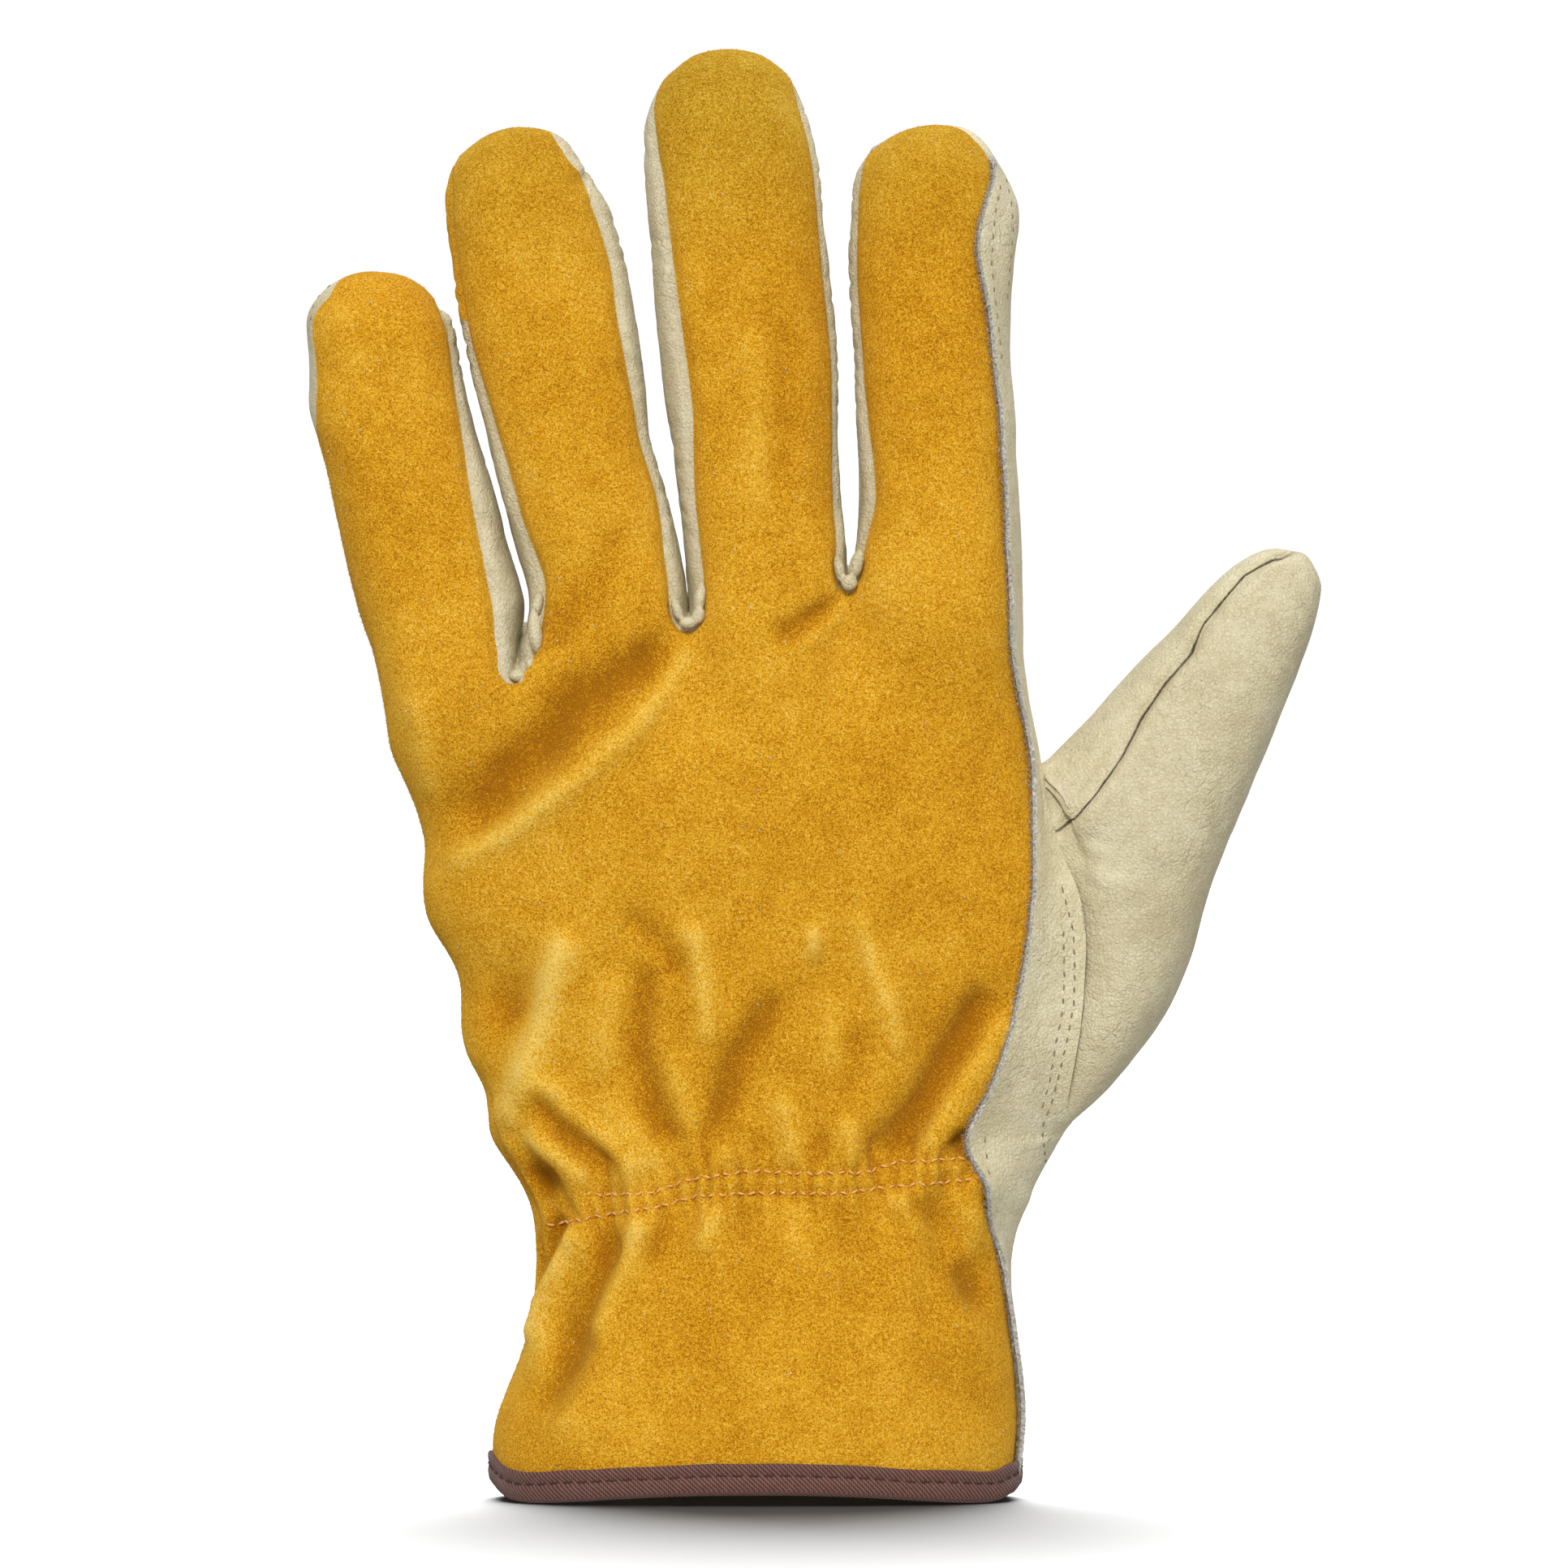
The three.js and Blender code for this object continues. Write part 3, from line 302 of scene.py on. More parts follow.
# The palm's creases, a guess: the photograph doesn't show that side, so these follow how a hand bends
palmFolds = [
    (-0.7, 2.4, [(1192, 905), (1120, 985), (1060, 1080), (1030, 1190), (1045, 1310), (1090, 1410)]),
    (-0.55, 1.9, [(1165, 930), (1040, 1000), (900, 1060), (760, 1120), (690, 1150)]),
    (-0.5, 1.8, [(585, 975), (700, 945), (830, 900), (950, 850), (1010, 800)]),
    (-0.5, 1.5, [(1070, 505), (1130, 498), (1200, 508)]),
    (-0.4, 1.6, [(1085, 660), (1150, 652), (1215, 664)]),
    (-0.5, 1.5, [(855, 440), (920, 432), (1000, 444)]),
    (-0.4, 1.6, [(870, 610), (940, 602), (1015, 612)]),
    (-0.5, 1.5, [(600, 470), (660, 452), (740, 452)]),
    (-0.4, 1.6, [(650, 625), (715, 605), (785, 606)]),
    (-0.45, 1.4, [(410, 560), (470, 538), (550, 530)]),
    (-0.5, 2.6, [(640, 1385), (760, 1410), (900, 1405), (1060, 1420)]),
    (-0.45, 3.0, [(690, 1470), (850, 1485), (1000, 1470), (1170, 1490)]),
    (-0.6, 2.4, [(1240, 1400), (1170, 1450), (1090, 1480), (1010, 1540)]),
    (0.35, 2.2, [(1215, 1450), (1150, 1510), (1105, 1590)]),
    (-0.4, 3.2, [(720, 1500), (740, 1600), (720, 1700)]),
]
thumbWrinkles = [
    (-0.42, 1.3, [(1315, 1042), (1350, 1060), (1392, 1072)]),
    (-0.36, 1.2, [(1318, 1062), (1340, 1084), (1362, 1100)]),
    (-0.34, 1.1, [(1322, 1028), (1365, 1042), (1402, 1046)]),
    (0.25, 1.8, [(1335, 1072), (1375, 1090), (1415, 1098)]),
    (-0.2, 1.1, [(1296, 990), (1312, 998), (1328, 1000)]),
    (-0.18, 1.6, [(1430, 870), (1470, 850), (1510, 835)]),
    (-0.15, 2.0, [(1400, 960), (1450, 955), (1500, 965)]),
    (-0.25, 2.2, [(1340, 1120), (1352, 1200), (1350, 1290)]),
    (-0.22, 2.4, [(1395, 1100), (1440, 1075), (1480, 1070)]),
]
# Which way each piece's folded side faces, how strong and round its folds are, and how they fade out at
# their ends: over so many millimetres and so many times their width
folding = {
    "back_panel": {"rows": backFolds, "way": -1, "strength": 2.0, "round": 1.2, "fade": 0, "fadeWidths": 2},
    "palm_panel": {"rows": palmFolds, "way": 1, "strength": 1.0, "round": 1.0, "fade": 5, "fadeWidths": 0},
    "thumb": {"rows": thumbWrinkles, "way": -1, "strength": 1.0, "round": 1.0, "fade": 3, "fadeWidths": 0},
}
folded = (0.05, 0.45)  # how squarely the skin faces front or back where folds start and are whole


def hill(distance, wide):
    return np.exp(-((distance / wide) ** 2))


def alongLine(points, line):
    # distance from each point to a line of photo pixels, how far along the line it lies, the line's
    # length, and the side of the line it is on
    places = np.array([fromPhoto(*spot) for spot in line])
    flat = points[:, [0, 2]]
    best, along, side = np.full(len(points), 1.0), np.zeros(len(points)), np.ones(len(points))
    walked = 0
    for place, step in zip(places, places[1:] - places[:-1]):
        length = np.linalg.norm(step)
        away = flat - place
        inside = np.clip(away @ step / length**2, 0, 1)
        distance = np.linalg.norm(away - inside[:, None] * step, axis=1)
        closer = distance < best
        best = np.where(closer, distance, best)
        along = np.where(closer, walked + inside * length, along)
        side = np.where(closer, np.sign(step[0] * away[:, 1] - step[1] * away[:, 0]), side)
        walked += length
    return best, along / walked, walked, side


def foldedLift(name, piece):
    kind = folding[name]
    lift = np.zeros(len(piece["points"]))
    for height, wide, line in kind["rows"]:
        distance, share, length, _ = alongLine(piece["points"], line)
        fadeTo = (kind["fade"] + kind["fadeWidths"] * wide) * mm
        fade = smoothStep(np.minimum(share, 1 - share) * length, -1 * mm, fadeTo)
        shape = np.exp(-((distance / (wide * mm)) ** 2) / kind["round"])
        lift += height * kind["strength"] * mm * shape * fade
    return lift * smoothStep(kind["way"] * piece["normals"][:, 1], *folded)


def noiseAt(points, size, seed):
    shift = Vector((seed * 7.3, seed * 3.1, seed * 5.7))
    return np.array([noise.noise(Vector(point) / size + shift) for point in points])


# Gathers held by the two rows of elastic stitching across the back of the wrist
gathers = {
    "rows": [
        [(739, 1469), (802, 1466), (851, 1449), (924, 1439), (996, 1442), (1069, 1440), (1108, 1428),
         (1195, 1424)],
        [(680, 1507), (739, 1495), (812, 1483), (861, 1469), (928, 1466), (1035, 1466), (1093, 1459),
         (1205, 1449)],
    ],
    "dip": 0.30, "dipWide": 1.0, "pucker": 0.26, "puckerEvery": 2.9, "puckerReach": 4.5, "wander": 2.2,
    "wanderSize": 6,
}


def gatheredLift(piece):
    points = piece["points"]
    lift = np.zeros(len(points))
    wander = noiseAt(points, gathers["wanderSize"] * mm, 4) * gathers["wander"]
    for row in gathers["rows"]:
        distance, share, length, _ = alongLine(points, row)
        wave = np.cos(2 * math.pi * share * length / (gathers["puckerEvery"] * mm) + wander)
        lift -= gathers["dip"] * mm * hill(distance, gathers["dipWide"] * mm)
        lift += gathers["pucker"] * mm * hill(distance, gathers["puckerReach"] * mm) * wave
    return lift * smoothStep(-piece["normals"][:, 1], *folded)


# How each kind of seam pulls the leather's edge: down is how far the edge sinks, raised is how far
# an edge that is lapped on top stands up, and under is how far the other edge reaches below it.
# Beside a seam the wall is pared down to a share of its own thickness.
seams = {
    "turned": {"down": 0.95, "wide": 1.25},
    "lapTop": {"raised": 0.95, "wide": 2.6},
    "lapUnder": {"down": 0.75, "wide": 2.0, "under": 1.6, "underWide": 2.4},
    "lapFromX": 20 * mm, "lapFade": (228 * mm, 233 * mm), "tipFade": (0.5 * mm, 9 * mm),
    "thumbFade": (63 * mm, 74 * mm), "thumbFadeHigh": (101 * mm, 112 * mm),
    "skive": 0.1, "skiveWide": 1.4, "skiveNoise": [(0.45, 1.3, 21), (0.35, 5, 22)],
    "pared": {"back_panel": 0.3, "palm_panel": 0.5, "thumb": 0.5, "gusset": 0.3},
    "lapPared": 0.6, "paredWide": 3.5,
}

# The notches between the fingers are narrower on the back than in the CAD: lowest point, how much
# narrower, how far up and how far out that reaches, in millimetres
notches = [
    {"bottom": (638, 840), "narrow": 0.62, "tall": 19, "wide": 8.5},
    {"bottom": (848, 775), "narrow": 0.30, "tall": 14, "wide": 7},
    {"bottom": (1045, 728), "narrow": 0.50, "tall": 17, "wide": 8},
]
notchFoot = (-7, -0.5)
# Where the palm's edge at the thumb lies further in than in the CAD: rows of the photo and pixels
thumbEdge = {
    "rows": [1000, 1060, 1180, 1240, 1270, 1310, 1350, 1400], "in": [0, 4, 7, 8, 10, 15, 19, 22],
    "column": 1341, "fromColumn": 1222.4, "wide": 9,
}
# Small corrections of the outline: photo place, how far each one reaches, and its push across and up
smallMoves = [
    {"at": (720, 192), "wide": 2.4, "push": (-1.0, -0.5)},
    {"at": (713, 203), "wide": 1.3, "push": (0.8, 0.0)},
    {"at": (740, 226), "wide": 2.0, "push": (-0.6, 0.0)},
    {"at": (606, 812), "wide": 2.6, "push": (1.0, 0.3)},
]
shiftFade = (-2 * mm, 7 * mm)  # these moves fade out from the front round the side
movesBehind = 12 * mm


def photoRow(points):
    return photo["hemRow"] - points[:, 2] / mm * photo["pixelsPerMm"]


def softShift(points):
    # moves that every leather piece shares, so that joined edges stay joined
    shift = np.zeros_like(points)
    front = smoothStep(-points[:, 1], *shiftFade)
    for notch in notches:
        middle, low = fromPhoto(*notch["bottom"])
        across, up = points[:, 0] - middle, (points[:, 2] - low) / mm
        tall = smoothStep(-up, -notch["tall"], -2) * smoothStep(up, *notchFoot)
        shift[:, 0] -= across * notch["narrow"] * tall * front * hill(across, notch["wide"] * mm)
    inward = np.interp(photoRow(points), thumbEdge["rows"], thumbEdge["in"], right=0)
    inward *= mm / photo["pixelsPerMm"]
    near = hill(points[:, 0] - fromPhoto(thumbEdge["column"], 0)[0], thumbEdge["wide"] * mm)
    shift[:, 0] -= inward * near * front * (points[:, 0] > fromPhoto(thumbEdge["fromColumn"], 0)[0])
    for move in smallMoves:
        x, z = fromPhoto(*move["at"])
        away = np.hypot(points[:, 0] - x, points[:, 2] - z)
        share = hill(away, move["wide"] * mm) * (points[:, 1] < movesBehind) * mm
        shift[:, 0] += share * move["push"][0]
        shift[:, 2] += share * move["push"][1]
    return shift


def isLap(name, piece):
    # 1 where the palm lies on top of its neighbour, 0 at a turned seam
    other = {"back_panel": "palm_panel", "palm_panel": "back_panel"}.get(name)
    place = piece["seamPlace"]
    onIndexSide = (piece["seamWith"] == other) & (place[:, 0] > seams["lapFromX"])
    lap = np.where(onIndexSide, 1 - smoothStep(place[:, 2], *seams["lapFade"]), 0.0)
    atThumb = {"palm_panel": "thumb", "thumb": "palm_panel"}.get(name)
    return np.maximum(lap, (piece["seamWith"] == atThumb).astype(float))


def gussetTips():
    # the upper ends of every gusset, one beside each fingertip
    tips = []
    for name in gussetNames:
        rim = leather[name]["points"][leather[name]["rim"].ravel()]
        for side in (rim[rim[:, 0] < rim[:, 0].mean()], rim[rim[:, 0] >= rim[:, 0].mean()]):
            tips.append(side[side[:, 2].argmax()])
    return np.array(tips)


tipPlaces = gussetTips()


def toTips(piece):
    return np.linalg.norm(piece["points"][:, None] - tipPlaces[None], axis=2).min(1)


def seamMove(name, piece):
    s = piece["toSeam"] / mm
    lap = isLap(name, piece)
    turned, top, under = seams["turned"], seams["lapTop"], seams["lapUnder"]
    calm = smoothStep(toTips(piece), *seams["tipFade"])
    sink = -turned["down"] * hill(s, turned["wide"]) * (1 - lap) * (piece["seamWith"] != "hem") * calm
    byThumb = np.isin(piece["seamWith"], ["thumb", "palm_panel"]) & (lap == 1)
    byThumb &= (name == "thumb") | (piece["seamWith"] == "thumb")
    high = piece["seamPlace"][:, 2]
    thumbCalm = smoothStep(high, *seams["thumbFade"]) * (1 - smoothStep(high, *seams["thumbFadeHigh"]))
    calm = np.where(byThumb, thumbCalm, 1)
    if name == "palm_panel":
        lift = sink + lap * calm * top["raised"] * hill(s, top["wide"])
        return lift * mm, np.zeros_like(piece["points"])
    lift = sink - lap * calm * under["down"] * hill(s, under["wide"])
    reach = lap * under["under"] * hill(s, under["underWide"])
    return lift * mm, piece["seamOff"] * (reach * mm)[:, None]


# Soft unevenness of each leather: how high and how far apart its swells are, in millimetres
unevenness = {
    "back_panel": [(0.30, 17), (0.13, 6), (0.05, 2.4)],
    "palm_panel": [(0.28, 15), (0.12, 5), (0.05, 1.9)],
    "thumb": [(0.30, 16), (0.10, 5), (0.05, 1.9)],
    "gusset": [(0.20, 8), (0.14, 3.2), (0.06, 1.5)],
}

# The thumb's closing seam is a narrow groove along the front, by the photograph's pixels
thumbSeam = {
    "line": [(1290, 1027), (1312, 1020), (1327, 1001), (1347, 978), (1365, 953), (1381, 929), (1402, 887),
             (1431, 845), (1466, 804), (1482, 769), (1504, 743), (1533, 708), (1568, 689), (1603, 681)],
    "deep": 1.0, "wide": 0.9, "roll": 0.6, "rollWide": 2.8, "fadeIn": 5.0, "fadeOut": 4.0, "endDeep": 0.25,
    "facing": (-0.2, 0.1),
}
farAway = 10.0  # millimetres, for a distance that counts as none


def thumbLift(name, piece):
    facing = smoothStep(-piece["normals"][:, 1], *thumbSeam["facing"])
    distance, share, length, side = alongLine(piece["points"], thumbSeam["line"])
    # the signed distance from the seam line, which the thumb's colour paints near-black as shade in the
    # groove
    piece["groove"] = np.where(facing > 0, np.clip(side * distance / mm, -farAway, farAway), farAway)
    fade = smoothStep(share * length, 0, thumbSeam["fadeIn"] * mm)
    fade *= smoothStep((1 - share) * length, 0, thumbSeam["fadeOut"] * mm)
    piece["grooveOpen"] = fade * (facing > 0)
    deep = thumbSeam["deep"] * (thumbSeam["endDeep"] + (1 - thumbSeam["endDeep"]) * fade)
    groove = hill(distance, thumbSeam["wide"] * mm) * deep
    roll = hill(distance, thumbSeam["rollWide"] * mm) * thumbSeam["roll"]
    return (roll - groove) * mm * facing + foldedLift(name, piece)


# Gussets crease across themselves where the fingers bend
gussetCreases = {
    "height": 0.40, "every": 3.6, "seamFade": (0.3, 1.8), "wander": 3, "wanderSize": 9, "patch": 14,
    "patchFade": (-0.2, 0.4),
}


def gussetLift(name, piece):
    points, values = piece["points"], gussetCreases
    wander = noiseAt(points, values["wanderSize"] * mm, 9) * values["wander"] + noiseAt(points, 3 * mm, 2)
    wave = np.cos(2 * math.pi * points[:, 2] / (values["every"] * mm) + wander)
    strength = smoothStep(noiseAt(points, values["patch"] * mm, 5), *values["patchFade"])
    strength *= smoothStep(piece["toSeam"] / mm, *values["seamFade"])
    return -values["height"] * mm * np.maximum(wave, 0) ** 3 * strength


# How far each gusset's two front seams sit further round the finger than in the CAD, in millimetres:
# first the seam of the finger on its left, then of the one on its right
gussetSlide = {
    "fourchette_little_ring": (0.8, 0.8), "fourchette_ring_middle": (1.3, 0.3),
    "fourchette_middle_index": (1.3, 1.2), "fade": (150 * mm, 168 * mm), "wide": 4.0, "behind": 6 * mm,
    "tipFade": (1 * mm, 10 * mm),
}


def slideMove(name, piece):
    off, place = piece["seamOff"], piece["seamPlace"]
    move = np.zeros(len(off))
    for gusset in gussetNames:
        if name in ("back_panel", gusset):
            here = piece["seamWith"] == (gusset if name == "back_panel" else "back_panel")
            way = 1 if name == "back_panel" else -1
            move += way * here * np.where(off[:, 0] * way > 0, *gussetSlide[gusset])
    move *= smoothStep(place[:, 2], *gussetSlide["fade"]) * (place[:, 1] < gussetSlide["behind"])
    move *= hill(piece["toSeam"], gussetSlide["wide"] * mm)
    move *= smoothStep(toTips(piece), *gussetSlide["tipFade"])
    return off * (move * mm)[:, None]


# Where the cream leather reaches further onto the back than the CAD's seam, or the suede further round:
# rows of the photo, and there either the column where it starts, or how far the skin faces back
# (-1 front, 0 at the outline) where it starts
reaches = {
    "back_panel": [
        {"columns": (360, 470), "side": -1, "rows": [322, 333, 350, 365, 420, 480, 510, 540, 600, 680],
         "from": [1.2, 0.0, -0.35, -0.55, -0.42, -0.52, -0.44, -0.1, 0.5, 1.2]},
        {"columns": (640, 790), "side": 1,
         "rows": [137, 138, 150, 160, 180, 200, 220, 240, 266, 293, 329, 345, 346],
         "line": [2000, 695, 671, 677, 689, 700, 711, 720, 730, 739, 749, 775, 2000]},
    ],
    "fourchette_little_ring": [
        {"columns": (530, 620), "side": -1, "rows": [230, 360, 395, 425], "from": [0.06, 0.06, -0.2, -1.2]},
    ],
    "round": 9.0, "facing": -0.3, "blend": 0.15,
}


def reachOf(name, piece):
    # millimetres into the other leather's ground, below zero outside it
    points, normals = piece["points"], piece["normals"]
    column = photo["middleColumn"] + points[:, 0] / mm * photo["pixelsPerMm"]
    row = photoRow(points)
    reach = np.full(len(points), -farAway)
    for area in reaches.get(name, []):
        start = np.interp(row, area["rows"], area.get("line", area.get("from")))
        if "line" in area:
            inside = (column - start) * area["side"] / photo["pixelsPerMm"]
        else:
            inside = (normals[:, 1] - start) * (1 if name == "back_panel" else -1) * reaches["round"]
        here = (column > area["columns"][0]) & (column < area["columns"][1])
        here &= normals[:, 0] * area["side"] > reaches["facing"]
        reach = np.where(here, np.clip(inside, -farAway, farAway), reach)
    return reach


# Where the CAD's skin has a crease that the leather doesn't: photo place, how wide and how many passes
calmed = {
    "thumb": {"at": (1366, 1110), "wide": 15 * mm, "passes": 340},
    "back_panel": {"at": (716, 222), "wide": 3.5 * mm, "passes": 25},
    "palm_panel": {"at": (1262, 1395), "wide": 12 * mm, "passes": 160},
}
calmFacing = (-0.4, 0.0)


def calmSkin(piece, area):
    points, quads = piece["points"], piece["quads"]
    ends = np.concatenate([quads[:, [j, (j + 1) % 4]] for j in range(4)])
    ends = np.concatenate([ends, ends[:, ::-1]])
    count = np.bincount(ends[:, 0], minlength=len(points))[:, None]
    x, z = fromPhoto(*area["at"])
    away = np.hypot(points[:, 0] - x, points[:, 2] - z)
    share = (1 - smoothStep(away, area["wide"] / 2, area["wide"])) / 2
    share *= smoothStep(-piece["normals"][:, 1], *calmFacing)
    share[piece["rim"].ravel()] = 0
    near = ends[share[ends[:, 0]] > 0]
    for _ in range(area["passes"]):
        middle = sumBy(near[:, 0], points[near[:, 1]], len(points)) / count
        points = points + (middle - points) * share[:, None]
    piece["points"] = points
    piece["normals"] = pointNormals(points, quads)


lifts = {
    "back_panel": lambda name, piece: foldedLift(name, piece) + gatheredLift(piece),
    "palm_panel": foldedLift, "thumb": thumbLift,
}


def shapeSkin(name):
    piece = leather[name]
    if name in calmed:
        calmSkin(piece, calmed[name])
    piece["reach"] = reachOf(name, piece)
    lift, move = seamMove(name, piece)
    move = move + slideMove(name, piece) + softShift(piece["points"])
    for seed, (height, size) in enumerate(unevenness.get(name, unevenness["gusset"])):
        lift += height * mm * noiseAt(piece["points"], size * mm, seed + 1)
    fold = lifts.get(name, gussetLift)(name, piece)
    # the fold height in millimetres, which the suede's colour also uses as painted shade in valleys and
    # painted light on ridges
    piece["fold"] = fold / mm
    piece["points"] = piece["points"] + piece["normals"] * (lift + fold)[:, None] + move
    piece["normals"] = pointNormals(piece["points"], piece["quads"])


for nodeName in leather:
    shapeSkin(nodeName)
skinTrees = {
    name: BVHTree.FromPolygons(piece["points"].tolist(), piece["quads"].tolist())
    for name, piece in leather.items()
}
tucked = {"reach": 3 * mm, "beside": 0.35 * mm, "below": 0.5 * mm, "atSeam": 0.25 * mm, "fromSeam": 0.8 * mm}


def tuckUnder(name):
    # where a gusset's leather would come through the suede beside a notch, it stays below it
    piece = leather[name]
    for k in np.flatnonzero(piece["points"][:, 1] < 0):
        place = Vector(piece["points"][k])
        near, normal, _, distance = skinTrees["back_panel"].find_nearest(place, tucked["reach"])
        if near is not None:
            out = (place - near).dot(normal)
            beside = (place - near - normal * out).length
            below = tucked["below"] if piece["toSeam"][k] > tucked["fromSeam"] else tucked["atSeam"]
            if beside < tucked["beside"] and out > -below:
                piece["points"][k] -= np.array(normal) * (out + below)
    piece["normals"] = pointNormals(piece["points"], piece["quads"])


for gussetName in gussetNames:
    tuckUnder(gussetName)
print("skins shaped")


def addNode(tree, kind, links=None, **settings):
    # a node with its settings; each input is linked if it is given a socket, and set otherwise
    made = tree.nodes.new(kind)
    for key, value in settings.items():
        setattr(made, key, value)
    for key, value in (links or {}).items():
        if isinstance(value, bpy.types.NodeSocket):
            tree.links.new(value, made.inputs[key])
        else:
            made.inputs[key].default_value = value
    return made.outputs


def mathNode(tree, operation, first, second):
    return addNode(tree, "ShaderNodeMath", {0: first, 1: second}, operation=operation)[0]


def weightedSum(tree, start, parts):
    total = start
    for value, share in parts:
        total = addNode(tree, "ShaderNodeMath", {0: value, 1: share, 2: total}, operation="MULTIPLY_ADD")[0]
    return total


def noiseNode(tree, place, size, detail, rough):
    # size in millimetres
    links = {"Vector": place, "Scale": 1000 / size, "Detail": detail, "Roughness": rough}
    return addNode(tree, "ShaderNodeTexNoise", links)["Fac"]


def cellNode(tree, place, size):
    links = {"Vector": place, "Scale": 1000 / size}
    return addNode(tree, "ShaderNodeTexVoronoi", links, feature="DISTANCE_TO_EDGE")["Distance"]


def rampNode(tree, value, stops):
    made = tree.nodes.new("ShaderNodeValToRGB")
    ramp = made.color_ramp
    ramp.elements[0].position, ramp.elements[1].position = stops[0][0], stops[-1][0]
    ramp.elements[0].color, ramp.elements[1].color = (*stops[0][1], 1), (*stops[-1][1], 1)
    for place, colour in stops[1:-1]:
        ramp.elements.new(place).color = (*colour, 1)
    tree.links.new(value, made.inputs["Fac"])
    return made.outputs["Color"]


def bumpNode(tree, height, distance, strength, before=None):
    links = {"Height": height, "Distance": distance * mm, "Strength": strength}
    if before is not None:
        links["Normal"] = before
    return addNode(tree, "ShaderNodeBump", links)["Normal"]


def rangeNode(tree, value, low, high, toLow=0.0, toHigh=1.0):
    links = {"Value": value, "From Min": low, "From Max": high, "To Min": toLow, "To Max": toHigh}
    return addNode(tree, "ShaderNodeMapRange", links)["Result"]


def attributeNode(tree, name):
    return addNode(tree, "ShaderNodeAttribute", attribute_name=name)["Fac"]


def mixColour(tree, share, first, second, blend="MIX"):
    links = {0: share, 6: first, 7: second}
    return addNode(tree, "ShaderNodeMix", links, data_type="RGBA", blend_type=blend)[2]


def setInputs(made, values):
    for key, value in values.items():
        made.inputs[key].default_value = value


def newMaterial(name, values):
    material = bpy.data.materials.new(name)
    material.use_nodes = True
    tree = material.node_tree
    shader = tree.nodes["Principled BSDF"]
    setInputs(shader, values)
    return material, tree, shader, addNode(tree, "ShaderNodeTexCoord")["Object"]


def twoLooks(tree, first, place, paint, *values):
    # a second leather shows where the piece's reach attribute is above zero
    second = tree.nodes.new("ShaderNodeBsdfPrincipled")
    paint(tree, second, place, *values)
    share = rangeNode(tree, attributeNode(tree, "reach"), 0.0, reaches["blend"])
    links = {"Fac": share, 1: first.outputs[0], 2: second.outputs[0]}
    either = addNode(tree, "ShaderNodeMixShader", links)[0]
    tree.links.new(either, tree.nodes["Material Output"].inputs["Surface"])


# Suede: each layer of noise by its size in millimetres, detail, roughness and share, the share of the
# fold height that paints shade into the fold valleys and light onto the ridges, and the colours from the
# valleys of the nap to its tips
suede = {
    "layers": {"lay": (28, 3, 0.55, 0.34), "smear": (5, 3, 0.55, 0.24), "nap": (0.60, 3, 0.6, 0.55),
               "fibre": (0.28, 2, 0.6, 1.3)},
    "fold": 0.15, "bumped": ("nap", "fibre"), "bump": (0.5, 0.9),
    "colours": [(0.22, (0.330, 0.118, 0.002)), (0.40, (0.515, 0.219, 0.005)), (0.52, (0.635, 0.300, 0.012)),
                (0.66, (0.740, 0.400, 0.022)), (0.86, (0.820, 0.560, 0.130))],
    "tipHigh": (0.208, 0.245), "tipTint": (0.74, 0.87, 1.15, 1),
    "shader": {"Roughness": 0.95, "Specular IOR Level": 0.08, "Sheen Weight": 0.42, "Sheen Roughness": 0.55,
               "Sheen Tint": (1.0, 0.64, 0.09, 1)},
}


def paintSuede(tree, shader, place):
    setInputs(shader, suede["shader"])
    layers = {key: noiseNode(tree, place, *row[:3]) for key, row in suede["layers"].items()}
    shares = {key: row[3] for key, row in suede["layers"].items()}
    # painted shade and light: the fold height darkens the colour in the fold valleys and lightens it on the
    # ridges
    parts = [(attributeNode(tree, "fold"), suede["fold"])] + [(layers[key], shares[key]) for key in layers]
    value = weightedSum(tree, 0.5 - sum(shares.values()) / 2, parts)
    colour = rampNode(tree, value, suede["colours"])
    # the fingers are a little darker and greyer towards their tips
    tip = rangeNode(tree, addNode(tree, "ShaderNodeSeparateXYZ", {0: place})["Z"], *suede["tipHigh"])
    tinted = mixColour(tree, tip, colour, suede["tipTint"], "MULTIPLY")
    tree.links.new(tinted, shader.inputs["Base Color"])
    height = weightedSum(tree, 0.0, [(layers[key], 0.5) for key in suede["bumped"]])
    tree.links.new(bumpNode(tree, height, *suede["bump"]), shader.inputs["Normal"])


def suedeMaterial():
    material, tree, shader, place = newMaterial("golden_suede", {})
    paintSuede(tree, shader, place)
    twoLooks(tree, shader, place, paintGrain, creams["gusset"])
    return material


def grainMaterial(name, values):
    material, tree, shader, place = newMaterial(name, {})
    paintGrain(tree, shader, place, values)
    if values is creams["gusset"]:
        twoLooks(tree, shader, place, paintSuede)
    return material


# Grain leather: noises by size in millimetres, detail and roughness, how much each one tints the
# colour, and the bumps by height in millimetres and strength
grain = {
    "cloud": (22, 4, 0.6), "stain": (3.2, 5, 0.65), "speck": (0.5, 2, 0.6), "crease": (2.6, 6, 0.7),
    "shares": {"cloud": 0.6, "stain": 0.4, "pores": 0.3, "speck": 0.5}, "start": -0.29, "poreTop": 0.25,
    "poreBump": (0.3, 1.0), "creaseBump": (0.6, 0.9), "grooveBump": (0.5, 0.7), "grooveEdgeNoise": 0.22,
    "bend": 3, "bendDetail": 2, "lineSteep": 5, "lineTop": 0.6, "patch": (14, 2, 0.5),
    "patchRange": (0.42, 0.62),
}


